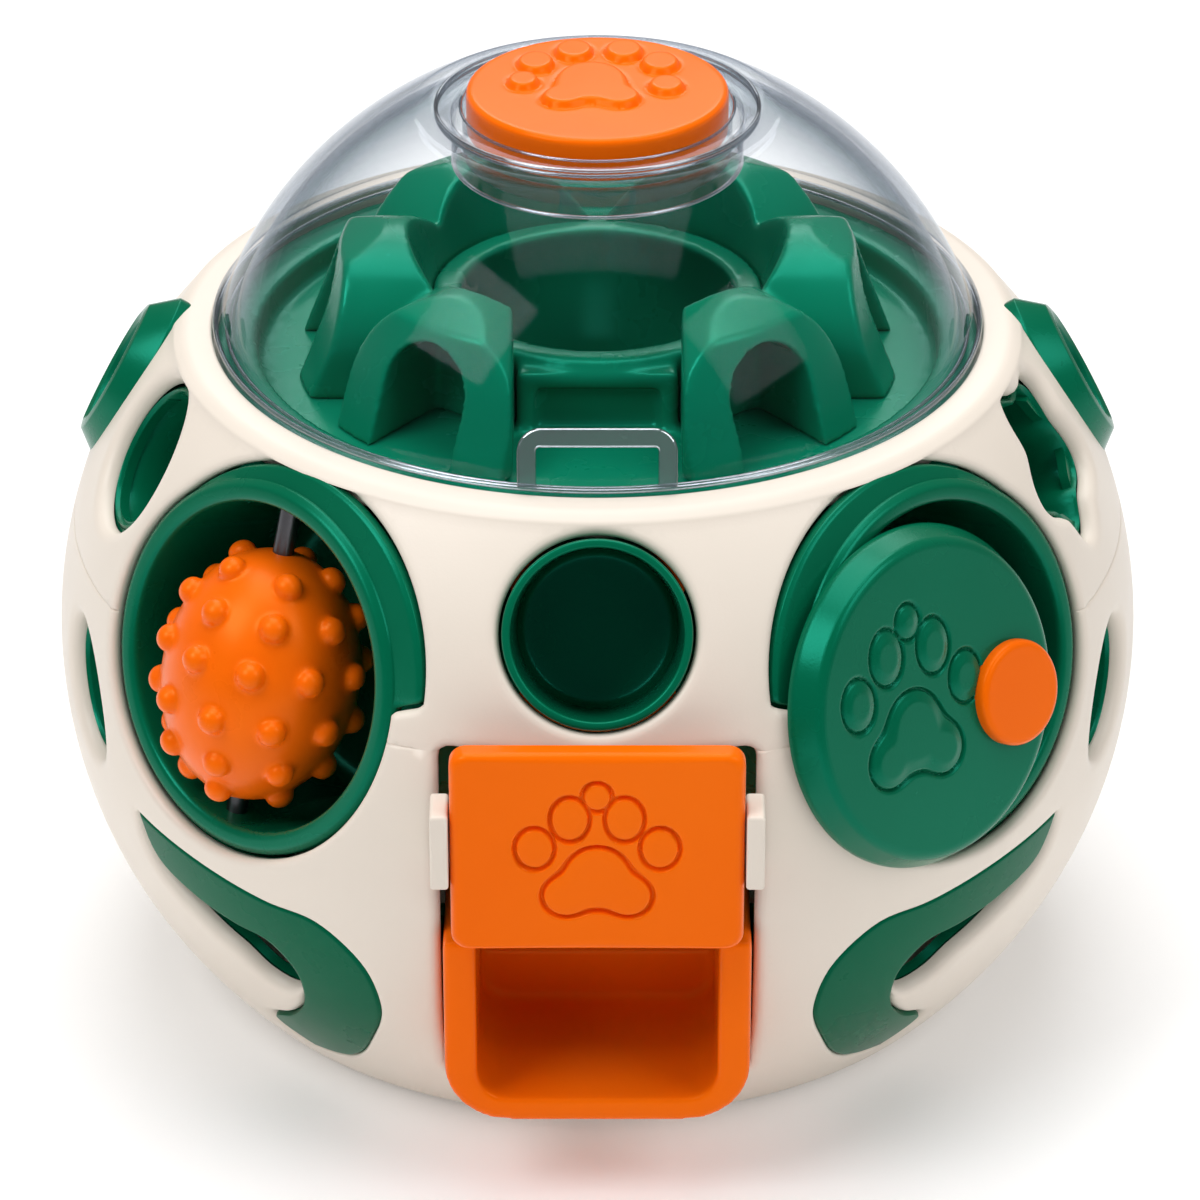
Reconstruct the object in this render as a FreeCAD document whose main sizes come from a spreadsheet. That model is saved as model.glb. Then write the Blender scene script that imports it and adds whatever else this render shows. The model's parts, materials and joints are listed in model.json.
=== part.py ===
import FreeCAD, Part
import math
import os
import re
import Sketcher

# A pet puzzle ball that stands on a flat base: a two-part cream shell with green pots in round
# ports, a clear dome over a green maze, a push button, a spiky roller, a swing lid, a sliding gate
# and a treat tray. The frame has its origin in the middle of the flat base, +Z up, front at -Y.
# Heights are above the base, angles in degrees, lengths in millimetres.
SIZES = {
    # Shell: the side is an arc of side_arc about a circle of radius belly_offset at belly_height.
    "belly_height": 51.0,
    "belly_offset": 8.0,
    "side_arc": 72.0,
    "shell_wall": 2.4,
    "seam_height": 70.6,
    "shoulder_height": 98.8,
    "shoulder_bevel": 1.6,
    "liner_gap": 0.3,
    "liner_wall": 1.4,
    "liner_window": 0.84,
    "liner_bottom": 5.0,
    "liner_top": 93.0,
    # Dome seat in the top of the shell, and the dome.
    "seat_radius": 56.0,
    "seat_depth": 3.2,
    "ledge_wall": 1.2,
    "ledge_radius": 54.0,
    "dome_arc": 58.7,
    "dome_centre": 81.0,
    "dome_wall": 1.8,
    "dome_gap": 0.4,
    "flange_wall": 1.6,
    "saucer_radius": 26.0,
    "saucer_fall": 1.2,
    "latch_width": 22.0,
    "latch_height": 8.0,
    "latch_bar": 2.7,
    "latch_latitude": 24.3,
    "latch_proud": 1.6,
    # Button well, button and its spring.
    "well_radius": 20.9,
    "well_wall": 1.6,
    "well_floor": 125.4,
    "well_floor_wall": 1.2,
    "well_flange": 2.4,
    "well_flange_wall": 1.2,
    "button_radius": 18.7,
    "button_top": 136.6,
    "button_skirt": 6.2,
    "button_wall": 2.0,
    "button_rounding": 0.8,
    "spring_radius": 5.0,
    "spring_wire": 0.9,
    "spring_turns": 4.0,
    "spigot_radius": 3.4,
    "spigot_height": 2.6,
    # Maze deck under the dome.
    "deck_height": 94.4,
    "deck_wall": 1.6,
    "deck_radius": 51.2,
    "cup_radius": 19.8,
    "cup_wall": 2.4,
    "cup_side": 4.2,
    "panel_half_width": 11.5,
    "panel_height": 9.0,
    "panel_edge": 2.4,
    "cup_top": 105.0,
    "cup_floor": 80.0,
    "drop_radius": 9.0,
    "arch_width": 30.0,
    "arch_crest": 115.0,
    "arch_wall": 4.6,
    "arch_tunnel": 14.0,
    "arch_reach": 37.0,
    "arch_ridge": 27.5,
    "arch_foot": 44.0,
    "arch_lean": 3.0,
    "arch_azimuth": 38.0,
    "arch_step": 52.0,
    "leg_radius": 3.4,
    "leg_circle": 50.0,
    "leg_side_azimuth": 82.0,
    "leg_rear_azimuth": 159.0,
    "boss_height": 8.0,
    "screw_radius": 1.25,
    "screw_length": 14.0,
    "screw_head": 2.8,
    "screw_head_wall": 2.0,
    # Ports and their pots.
    "port_azimuth": 42.8,
    "rear_port_azimuth": 123.8,
    "port_latitude": 16.0,
    "port_radius": 26.6,
    "port_gap": 0.4,
    "pot_face": 74.2,
    "pot_floor": 43.7,
    "pot_radius": 23.3,
    "pot_wall": 1.6,
    "pot_flange_wall": 3.4,
    "pot_bevel": 1.0,
    "lug_shift": 3.7,
    "lug_start": 7.0,
    "lug_sweep": 126.0,
    "lug_radius": 27.4,
    "lug_lean": 33.0,
    "lug_wall": 2.4,
    # Spiky roller on its axle.
    "roller_radius": 14.0,
    "roller_half_length": 18.2,
    "roller_out": 69.0,
    "roller_shift": 2.4,
    "roller_drop": 2.4,
    "spike_radius": 1.9,
    "spike_sink": 0.5,
    "axle_radius": 1.5,
    "axle_seat": 1.2,
    "running_gap": 0.05,
    # Swing lid, its knob and pin.
    "lid_radius": 24.1,
    "lid_face_radius": 22.2,
    "lid_wall": 4.8,
    "lid_edge": 1.0,
    "lid_left": 6.8,
    "lid_down": 1.6,
    "lid_gap": 0.3,
    "lid_land_radius": 34.0,
    "lid_pin_left": 24.8,
    "lid_pin_radius": 1.5,
    "knob_radius": 8.0,
    "knob_right": 14.7,
    "knob_down": 4.0,
    "knob_height": 1.8,
    "knob_rounding": 0.9,
    "paw_relief": 0.5,
    "lid_paw_scale": 1.2,
    "lid_paw_left": 5.2,
    "lid_paw_down": 3.4,
    "lid_paw_turn": -8.0,
    # Round holes at front and back.
    "hole_latitude": 27.0,
    "hole_radius": 13.0,
    "hole_face": 78.4,
    "hole_cup_wall": 1.2,
    "hole_floor": 54.0,
    # Side windows.
    "oval_azimuth": 73.0,
    "oval_latitude": 28.6,
    "oval_half_width": 9.6,
    "oval_half_height": 11.8,
    "oval_lobe": 1.2,
    "slot_azimuth": 69.0,
    "slot_latitude": 2.5,
    "slot_half_width": 6.4,
    "slot_half_height": 10.4,
    "slot_tilt": 35.0,
    "ring_azimuth": 96.0,
    "ring_latitude": 28.0,
    "ring_half_width": 9.6,
    "ring_half_height": 14.0,
    "ring_wall": 4.2,
    "ring_foot": 76.9,
    "ring_floor": 1.2,
    "ring_face": 82.4,
    "fin_azimuth": 42.0,
    "fin_latitude": -18.0,
    "fin_width": 42.7,
    "fin_height": 40.0,
    # Gate, its clips, the tray and what guides it.
    "gate_width": 40.0,
    "gate_height": 29.9,
    "gate_bottom": 45.4,
    "gate_face": 84.0,
    "gate_wall": 3.0,
    "gate_rounding": 1.2,
    "gate_corner": 3.0,
    "gate_tongue": 1.4,
    "gate_tongue_wall": 1.2,
    "tongue_spare": 1.0,
    "clip_height": 13.0,
    "clip_bottom": 55.6,
    "clip_wall": 1.2,
    "clip_gap": 0.3,
    "clip_root": 4.0,
    "opening_top": 72.5,
    "tray_width": 42.7,
    "tray_bottom": 13.5,
    "tray_top": 43.0,
    "tray_face": 79.2,
    "tray_depth": 28.0,
    "tray_rim": 4.6,
    "tray_floor_wall": 3.6,
    "tray_back_wall": 2.0,
    "tray_back_height": 12.0,
    "tray_corner": 9.0,
    "tray_gap": 0.35,
    "tray_guide_wall": 1.4,
    "tray_guide_height": 18.0,
    "chute_width": 40.0,
    "chute_wall": 1.6,
    "chute_back": 30.0,
    "chute_high": 52.0,
    "chute_side": 5.0,
}

doc = FreeCAD.newDocument("puzzle_ball")
sheet = doc.addObject("Spreadsheet::Sheet", "sizes")
for row, (alias, value) in enumerate(SIZES.items(), start=1):
    sheet.set("A%d" % row, alias)
    sheet.set("B%d" % row, str(value))
    sheet.setAlias("B%d" % row, alias)
doc.recompute()

Vector = FreeCAD.Vector
UP = Vector(0, 0, 1)
FULL_TURN = 360.0
parts = {}


def number(words):
    """The value of an expression in the sheet's own names."""
    return float(sheet.evalExpression(str(words)))


def bound(words):
    """The same expression as other objects of the document read it."""
    return re.sub(r"[a-z_]+", lambda m: "sizes." + m.group(0) if m.group(0) in SIZES else m.group(0),
                  str(words))


def bind(thing, **words):
    """Ties properties of an object to expressions."""
    for name, text in words.items():
        thing.setExpression(name, bound(text))
    return thing


def node(name, thing):
    """Registers the object that holds one sub-part."""
    thing.Label = name
    parts[name] = thing
    return thing


def outwards(azimuth, latitude, distance=0.0, right=0.0, up=0.0, height=None, turn=0.0):
    """Placement whose Z points out of the ball there, X to the viewer's right and Y up."""
    turned_by = math.radians(azimuth)
    raised_by = math.radians(latitude)
    out = Vector(math.cos(raised_by) * math.sin(turned_by),
                 -math.cos(raised_by) * math.cos(turned_by), math.sin(raised_by))
    side = Vector(math.cos(turned_by), math.sin(turned_by), 0)
    above = out.cross(side)
    middle = Vector(0, 0, number("belly_height") if height is None else height)
    base = middle + out * distance + side * right + above * up
    rotation = FreeCAD.Rotation(side, above, out, "ZXY")
    return FreeCAD.Placement(base, rotation * FreeCAD.Rotation(UP, turn))


def arc_edge(start, end, centre):
    """Circular edge from start to end the short way round centre, and whether it is flipped."""
    radius = start.distanceToPoint(centre)
    first = math.atan2(start.y - centre.y, start.x - centre.x)
    last = math.atan2(end.y - centre.y, end.x - centre.x)
    flipped = (last - first) % (2 * math.pi) > math.pi
    if flipped:
        first, last = last, first
    return Part.ArcOfCircle(Part.Circle(centre, UP, radius), first, last), flipped


def draw(sketch, steps):
    """Closed outline: each step is (x, y), or (x, y, centre x, centre y) for an arc to that point."""
    corners = [Vector(number(step[0]), number(step[1]), 0) for step in steps]
    ends = []
    for place, step in enumerate(steps):
        start, end = corners[place - 1], corners[place]
        flipped = False
        if len(step) == 4:
            edge, flipped = arc_edge(start, end, Vector(number(step[2]), number(step[3]), 0))
        else:
            edge = Part.LineSegment(start, end)
        sketch.addGeometry(edge, False)
        ends.append((2, 1) if flipped else (1, 2))
    for place, step in enumerate(steps):
        following = (place + 1) % len(steps)
        sketch.addConstraint(Sketcher.Constraint("Coincident", place, ends[place][1],
                                                 following, ends[following][0]))
        for kind, words, value in (("DistanceX", step[0], corners[place].x),
                                   ("DistanceY", step[1], corners[place].y)):
            index = sketch.addConstraint(Sketcher.Constraint(kind, -1, 1, place, ends[place][1], value))
            sketch.setExpression("Constraints[%d]" % index, bound(words))
        if len(step) == 4:
            radius = "sqrt((%s - (%s))^2 + (%s - (%s))^2)" % (step[0], step[2], step[1], step[3])
            index = sketch.addConstraint(Sketcher.Constraint("Radius", place, number(radius)))
            sketch.setExpression("Constraints[%d]" % index, bound(radius))


def plane_of(body, role):
    """An origin plane of the body."""
    return [item for item in body.Origin.OriginFeatures if item.Role == role][0]


def turned(name, steps, place=None):
    """Body made by turning an outline of (radius, height) about its Z axis."""
    body = doc.addObject("PartDesign::Body", name)
    sketch = body.newObject("Sketcher::SketchObject", name + "_profile")
    sketch.AttachmentSupport = (plane_of(body, "XZ_Plane"), "")
    sketch.MapMode = "FlatFace"
    draw(sketch, steps)
    turning = body.newObject("PartDesign::Revolution", name + "_turned")
    turning.Profile = (sketch, [""])
    turning.ReferenceAxis = (sketch, ["V_Axis"])
    turning.Angle = FULL_TURN
    if place:
        body.Placement = place
    doc.recompute()
    return body


def padded(name, steps, length, place=None, role="XY_Plane"):
    """Body made by padding an outline along the normal of one of its origin planes."""
    body = doc.addObject("PartDesign::Body", name)
    sketch = body.newObject("Sketcher::SketchObject", name + "_outline")
    sketch.AttachmentSupport = (plane_of(body, role), "")
    sketch.MapMode = "FlatFace"
    draw(sketch, steps)
    pad = body.newObject("PartDesign::Pad", name + "_pad")
    pad.Profile = (sketch, [""])
    pad.setExpression("Length", bound(length))
    if place:
        body.Placement = place
    doc.recompute()
    return body


def rounded(body, radius, pick):
    """Rounds the edges of the body's last feature that pick chooses."""
    base = body.Tip
    names = ["Edge%d" % (place + 1) for place, edge in enumerate(base.Shape.Edges) if pick(edge)]
    fillet = body.newObject("PartDesign::Fillet", body.Name + "_rounding")
    fillet.Base = (base, names)
    fillet.setExpression("Radius", bound(radius))
    doc.recompute()
    return body


def cylinder(name, radius, height, place=None, angle=None):
    thing = doc.addObject("Part::Cylinder", name)
    bind(thing, Radius=radius, Height=height)
    if angle:
        bind(thing, Angle=angle)
    if place:
        thing.Placement = place
    return thing


def block(name, low, high):
    """Box between two corners, each a list of three expressions."""
    thing = doc.addObject("Part::Box", name)
    spans = ["(%s) - (%s)" % (top, bottom) for bottom, top in zip(low, high)]
    bind(thing, Length=spans[0], Width=spans[1], Height=spans[2])
    thing.Placement.Base = Vector(*[number(words) for words in low])
    return thing


def fused(name, shapes):
    thing = doc.addObject("Part::MultiFuse", name)
    thing.Shapes = shapes
    return thing


def less(name, base, tool):
    thing = doc.addObject("Part::Cut", name)
    thing.Base = base
    thing.Tool = tool
    return thing


def shared(name, base, tool):
    thing = doc.addObject("Part::Common", name)
    thing.Base = base
    thing.Tool = tool
    return thing


def prism(name, outline, place, low, high):
    """Solid of a closed outline, given as edges in the XY plane, between two distances along Z."""
    thing = doc.addObject("Part::Feature", name)
    face = Part.Face(Part.Wire(outline))
    face.translate(UP * low)
    thing.Shape = face.extrude(UP * (high - low))
    thing.Placement = place
    return thing


# Outlines of the curved windows
def ellipse(half_width, half_height, share=1.0, lobe=0.0, tilt=0.0):
    """Oval, or a cloud whose five lobes stand out by lobe, as one closed curve."""
    marks = 40
    points = []
    for mark in range(marks):
        turn = 2 * math.pi * mark / marks
        swell = 1 + lobe * math.cos(5 * turn) / half_width
        x = half_width * share * swell * math.cos(turn)
        y = half_height * share * swell * math.sin(turn)
        lean = math.radians(tilt)
        points.append(Vector(x * math.cos(lean) - y * math.sin(lean),
                             x * math.sin(lean) + y * math.cos(lean), 0))
    curve = Part.BSplineCurve()
    curve.interpolate(Points=points, PeriodicFlag=True)
    return [curve.toShape()]


# Paw reliefs: the pad and the toes as (x, y, half width, half height) before scaling
PAW_FIVE = [(0, 0, 7.8, 6.2), (0, 14.6, 1.6, 2.1), (-3.7, 10.9, 2.4, 3.4), (3.7, 10.9, 2.4, 3.4),
            (-8.6, 6.4, 2.3, 3.2), (8.6, 6.4, 2.3, 3.2)]
PAW_SIX = [(0, -1.2, 6.6, 5.6), (-3.4, 9.8, 2.4, 3.4), (3.4, 9.8, 2.4, 3.4), (-8.9, 5.6, 2.4, 3.0),
           (8.9, 5.6, 2.4, 3.0), (-9.9, -1.4, 2.2, 2.6), (9.9, -1.4, 2.2, 2.6)]


def paw(name, marks, scale, place):
    """Raised pads of a paw whose face is the XY plane of place."""
    raised = []
    for x, y, half_width, half_height in marks:
        outline = ellipse(half_width * scale, half_height * scale)
        pad = prism(name, outline, place.multiply(
            FreeCAD.Placement(Vector(x * scale, y * scale, 0), FreeCAD.Rotation())),
            -number("paw_relief"), number("paw_relief"))
        raised.append(pad)
    return raised


# The fin window as shares of its width and height: the outer edge from the tip round the blob, the
# hook of cream that stands into it, the lower edge of the slot, and the upper edge of the slot.
FIN_OUTER = [(-0.45, 0.41), (-0.13, 0.385), (0.19, 0.345), (0.39, 0.32), (0.53, 0.16), (0.545, -0.04),
             (0.44, -0.27), (0.25, -0.5), (0.06, -0.56)]
FIN_HOOK = [(0.06, -0.56), (-0.05, -0.43), (0.1, -0.3), (0.2, -0.17), (0.23, -0.085)]
FIN_LOWER = [(0.23, -0.085), (0.14, -0.118), (0.05, -0.09), (-0.03, -0.015), (-0.11, 0.025), (-0.2, 0.075),
             (-0.33, 0.145), (-0.4, 0.2), (-0.445, 0.3), (-0.45, 0.41)]
FIN_UPPER = [(0.23, -0.085), (0.235, 0.03), (0.16, 0.14), (0.0, 0.165), (-0.19, 0.195), (-0.38, 0.265),
             (-0.45, 0.41)]


def fin(stretches, side):
    """Edges of a fin outline, mirrored where side is -1."""
    edges = []
    for stretch in stretches:
        points = [Vector(side * x * number("fin_width"), y * number("fin_height"), 0) for x, y in stretch]
        curve = Part.BSplineCurve()
        curve.interpolate(Points=points)
        edges.append(curve.toShape())
    return edges


CENTRE = ("belly_offset", "belly_height")


def shell_radius(height, inset="0"):
    """Words for the shell's radius at a height, inset from its outer face."""
    return "belly_offset + sqrt((side_arc - (%s))^2 - ((%s) - belly_height)^2)" % (inset, height)


def band(name, low, high, outer, inner, floor=None):
    """Ring of the shell between two heights, with a flat floor where floor is given."""
    if floor is None:
        return turned(name, [
            (shell_radius(low, outer), low),
            (shell_radius(high, outer), high) + CENTRE,
            (shell_radius(high, inner), high),
            (shell_radius(low, inner), low) + CENTRE,
        ])
    return turned(name, [
        ("0", low),
        (shell_radius(low, outer), low),
        (shell_radius(high, outer), high) + CENTRE,
        (shell_radius(high, inner), high),
        (shell_radius(floor, inner), floor) + CENTRE,
        ("0", floor),
    ])


# Shell halves and liners before their windows are cut
RIM = "(shoulder_height + shoulder_bevel)"
LEDGE = "(" + RIM + " - seat_depth - ledge_wall)"
LINER_OUTER = "(shell_wall + liner_gap)"
LINER_INNER = "(shell_wall + liner_gap + liner_wall)"

lower_blank = band("lower_blank", "0", "seam_height", "0", "shell_wall", floor="shell_wall")
upper_blank = turned("upper_blank", [
    (shell_radius("seam_height"), "seam_height"),
    (shell_radius("shoulder_height"), "shoulder_height") + CENTRE,
    (shell_radius("shoulder_height") + " - shoulder_bevel", RIM),
    ("seat_radius", RIM),
    ("seat_radius", LEDGE + " + ledge_wall"),
    ("ledge_radius", LEDGE + " + ledge_wall"),
    ("ledge_radius", LEDGE),
    (shell_radius(LEDGE, "shell_wall"), LEDGE),
    (shell_radius("seam_height", "shell_wall"), "seam_height") + CENTRE,
])
lower_liner_blank = band("lower_liner_blank", "liner_bottom", "seam_height - liner_gap",
                         LINER_OUTER, LINER_INNER)
upper_liner_blank = band("upper_liner_blank", "seam_height + liner_gap", "liner_top",
                         LINER_OUTER, LINER_INNER)
skin = band("skin", "shell_wall", "seam_height", "0", "shell_wall")

# Cutters of the ports, round holes, side windows, fins and the front opening
CUT_START = number("pot_face - pot_flange_wall - port_gap")
REACH = "side_arc"
port_places = {
    "front_left": (-number("port_azimuth"), 1),
    "front_right": (number("port_azimuth"), -1),
    "rear_left": (-number("rear_port_azimuth"), -1),
    "rear_right": (number("rear_port_azimuth"), 1),
}
cutters = []
liner_cutters = []


def lug_sector(name, azimuth, side, distance, gap, height):
    """Sector of a round that stands out of the port's own round and meets it at its upper end."""
    spare = math.degrees(gap / number("port_radius"))
    start = number("lug_start") - spare
    leaning = math.radians(number("lug_lean"))
    shift = number("lug_shift")
    if side < 0:
        start = 180 - number("lug_start + lug_sweep")
    sweep = "lug_sweep" if gap == 0 else "lug_sweep + port_gap / port_radius * 180 / pi"
    radius = "lug_radius" + (" + port_gap" if gap else "")
    return cylinder(name, radius, height,
                    outwards(azimuth, number("port_latitude"), distance,
                             right=side * shift * math.cos(leaning), up=shift * math.sin(leaning),
                             turn=start), sweep)


for name, (azimuth, side) in port_places.items():
    latitude = number("port_latitude")
    cutters.append(cylinder(name + "_port", "port_radius + port_gap", REACH,
                            outwards(azimuth, latitude, CUT_START)))
    cutters.append(lug_sector(name + "_lug_port", azimuth, side, CUT_START, number("port_gap"), REACH))
    liner_cutters.append(cylinder(name + "_pot_way", "pot_radius + pot_wall + port_gap", REACH,
                                  outwards(azimuth, latitude, number("pot_floor - port_gap"))))

cutters.append(cylinder("lid_land", "lid_land_radius", REACH,
                        outwards(number("port_azimuth"), number("port_latitude"), number("pot_face"))))

hole_places = {"front": 0.0, "rear": 180.0}
for name, azimuth in hole_places.items():
    cutters.append(cylinder(name + "_hole", "hole_radius + port_gap", REACH,
                            outwards(azimuth, number("hole_latitude"), number("hole_floor - port_gap"))))

FAR = number("side_arc + belly_offset") + 10
NEAR = 60.0
windows = []
liner_windows = []
for side, lobe in ((-1, 0.0), (1, number("oval_lobe"))):
    place = outwards(side * number("oval_azimuth"), number("oval_latitude"))
    sizes_of = (number("oval_half_width"), number("oval_half_height"))
    tilt = side * -8.0
    windows.append(prism("oval_window", ellipse(*sizes_of, lobe=lobe, tilt=tilt), place, NEAR, FAR))
    liner_windows.append(prism("oval_liner_window", ellipse(*sizes_of, number("liner_window"), lobe, tilt),
                               place, NEAR, FAR))
    place = outwards(side * number("slot_azimuth"), number("slot_latitude"))
    sizes_of = (number("slot_half_width"), number("slot_half_height"))
    tilt = side * -number("slot_tilt")
    windows.append(prism("slot_window", ellipse(*sizes_of, tilt=tilt), place, NEAR, FAR))
    liner_windows.append(prism("slot_liner_window", ellipse(*sizes_of, number("liner_window"), tilt=tilt),
                               place, NEAR, FAR))

ring_places = {name: outwards(side * number("ring_azimuth"), number("ring_latitude"))
               for name, side in (("left", -1), ("right", 1))}
for name, place in ring_places.items():
    windows.append(prism(name + "_ring_window", ellipse(number("ring_half_width + liner_gap"),
                                                        number("ring_half_height + liner_gap")),
                         place, NEAR, FAR))

fin_places = {
    "front_left": (-number("fin_azimuth"), 1),
    "front_right": (number("fin_azimuth"), -1),
    "rear_left": (number("fin_azimuth") - 180, -1),
    "rear_right": (180 - number("fin_azimuth"), 1),
}
for name, (azimuth, side) in fin_places.items():
    place = outwards(azimuth, number("fin_latitude"))
    windows.append(prism(name + "_fin_window", fin([FIN_OUTER, FIN_HOOK, FIN_LOWER], side), place,
                         NEAR, FAR))
    liner_windows.append(prism(name + "_fin_liner_window", fin([FIN_UPPER, FIN_LOWER[::-1]], side), place,
                               NEAR, FAR))

HALF_OPENING = "(tray_width / 2 + tray_gap)"
opening = block("front_opening", ["-" + HALF_OPENING, "-side_arc - belly_offset - tray_depth",
                                  "tray_bottom - tray_gap"],
                [HALF_OPENING, "-tray_face + tray_depth", "opening_top"])
shell_cutters = fused("shell_cutters", cutters + windows + [opening])
doc.recompute()
guide_room = block("guide_room", ["-" + HALF_OPENING + " - tray_guide_wall - liner_gap",
                                  "-side_arc - belly_offset", "0"],
                   [HALF_OPENING + " + tray_guide_wall + liner_gap", "-tray_face + tray_depth",
                    "tray_bottom + tray_guide_height + liner_gap"])
way_cutters = fused("way_cutters", cutters + liner_cutters + liner_windows + [opening, guide_room])
doc.recompute()

# Screw bosses stand on the floor of the lower shell
legs = [side * number(words) for words in ("leg_side_azimuth", "leg_rear_azimuth") for side in (-1, 1)]


def around(azimuth, radius, height):
    """Placement upright at that azimuth and radius."""
    turned_by = math.radians(azimuth)
    return FreeCAD.Placement(Vector(radius * math.sin(turned_by), -radius * math.cos(turned_by), height),
                             FreeCAD.Rotation())


LEG_CIRCLE = number("leg_circle")
bosses = [cylinder("boss", "leg_radius", "boss_height - shell_wall",
                   around(azimuth, LEG_CIRCLE, number("shell_wall"))) for azimuth in legs]
screw_ways = [cylinder("screw_way", "screw_radius + port_gap", "boss_height + shell_wall",
                       around(azimuth, LEG_CIRCLE, 0)) for azimuth in legs]
head_ways = [cylinder("head_way", "screw_head + port_gap", "screw_head_wall + port_gap",
                      around(azimuth, LEG_CIRCLE, 0)) for azimuth in legs]
lower_cut = less("lower_cut", lower_blank, shell_cutters)
lower_whole = fused("lower_whole", [lower_cut] + bosses)
node("lower_shell", less("lower_shell", lower_whole, fused("screw_ways", screw_ways + head_ways)))
node("upper_shell", less("upper_shell", upper_blank, shell_cutters))
node("lower_liner", less("lower_liner", lower_liner_blank, way_cutters))
node("upper_liner", less("upper_liner", upper_liner_blank, way_cutters))
doc.recompute()

# Fin inlays are pressed into the fin windows, flush with the shell
for name, (azimuth, side) in fin_places.items():
    plate = prism(name + "_fin_plate", fin([FIN_OUTER, FIN_HOOK, FIN_UPPER], side),
                  outwards(azimuth, number("fin_latitude")), NEAR, FAR)
    node(name + "_inlay", shared(name + "_inlay", skin, plate))
doc.recompute()

# Side rings: raised oval rims, each pressed into a window of the upper shell
for name, place in ring_places.items():
    rim = prism(name + "_ring_rim", ellipse(number("ring_half_width"), number("ring_half_height")), place,
                number("ring_foot"), number("ring_face"))
    hollow = prism(name + "_ring_hollow", ellipse(number("ring_half_width - ring_wall"),
                                                  number("ring_half_height - ring_wall")), place,
                   number("ring_foot + ring_floor"), FAR)
    node(name + "_ring", less(name + "_ring", rim, hollow))
doc.recompute()

# Pots: a flanged cup in each port, with a lug on the side of its pair
FLANGE = "pot_face - pot_flange_wall"
for name, (azimuth, side) in port_places.items():
    place = outwards(azimuth, number("port_latitude"))
    cup = turned(name + "_cup", [
        ("0", "pot_floor"),
        ("pot_radius + pot_wall", "pot_floor"),
        ("pot_radius + pot_wall", FLANGE),
        ("port_radius", FLANGE),
        ("port_radius", "pot_face - pot_bevel"),
        ("port_radius - pot_bevel", "pot_face"),
        ("pot_radius", "pot_face"),
        ("pot_radius", "pot_floor + pot_wall"),
        ("0", "pot_floor + pot_wall"),
    ], place)
    lug = lug_sector(name + "_lug", azimuth, side, number(FLANGE), 0, "lug_wall")
    core = cylinder(name + "_lug_core", "pot_radius + pot_wall", "3 * lug_wall",
                    outwards(azimuth, number("port_latitude"), number(FLANGE + " - lug_wall")))
    whole = fused(name + "_whole", [cup, less(name + "_lug_ring", lug, core)])
    if name == "front_left":
        bore = cylinder("axle_way", "axle_radius + running_gap", "2 * (pot_radius + axle_seat)")
        bore.Placement = outwards(azimuth, number("port_latitude"), number("roller_out"),
                                  up=-number("pot_radius + axle_seat"),
                                  right=-number("roller_shift")).multiply(
            FreeCAD.Placement(Vector(), FreeCAD.Rotation(Vector(1, 0, 0), -90)))
        whole = less(name + "_bored", whole, bore)
    if name == "front_right":
        pin_way = cylinder("pin_way", "lid_pin_radius", "pot_flange_wall",
                           outwards(azimuth, number("port_latitude"), number("pot_face - 2.4"),
                                    right=-number("lid_pin_left"), up=-number("lid_down")))
        whole = less(name + "_bored", whole, pin_way)
    node(name + "_pot", whole)
doc.recompute()

# Spiky roller turns on an axle across the front left pot
left = number("-port_azimuth")
roller_place = outwards(left, number("port_latitude"), number("roller_out"), right=-number("roller_shift"),
                        up=-number("roller_drop"))
roller_place = roller_place.multiply(FreeCAD.Placement(Vector(), FreeCAD.Rotation(Vector(1, 0, 0), -90)))
egg = doc.addObject("Part::Ellipsoid", "roller_egg")
bind(egg, Radius1="roller_half_length", Radius2="roller_radius", Radius3="roller_radius")
egg.Placement = roller_place
spikes = []
for rank, (lift, count) in enumerate(((-58, 5), (-35, 8), (-12, 10), (12, 10), (35, 8), (58, 5))):
    for step in range(count):
        turn = 2 * math.pi * (step + 0.5 * (rank % 2)) / count
        rise = math.radians(lift)
        ring = number("roller_radius - spike_sink") * math.cos(rise)
        spike = doc.addObject("Part::Sphere", "spike")
        bind(spike, Radius="spike_radius")
        spike.Placement = roller_place.multiply(FreeCAD.Placement(
            Vector(ring * math.cos(turn), ring * math.sin(turn),
                   number("roller_half_length - spike_sink") * math.sin(rise)), FreeCAD.Rotation()))
        spikes.append(spike)
roller_bore = cylinder("roller_bore", "axle_radius + running_gap", "4 * roller_half_length",
                       roller_place.multiply(FreeCAD.Placement(
                           UP * -2 * number("roller_half_length"), FreeCAD.Rotation())))
node("roller", less("roller", fused("roller_whole", [egg] + spikes), roller_bore))
axle = cylinder("roller_axle", "axle_radius", "2 * (pot_radius + axle_seat)",
                roller_place.multiply(FreeCAD.Placement(
                    UP * -number("pot_radius + axle_seat - roller_drop"), FreeCAD.Rotation())))
node("roller_axle", axle)
doc.recompute()

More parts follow.
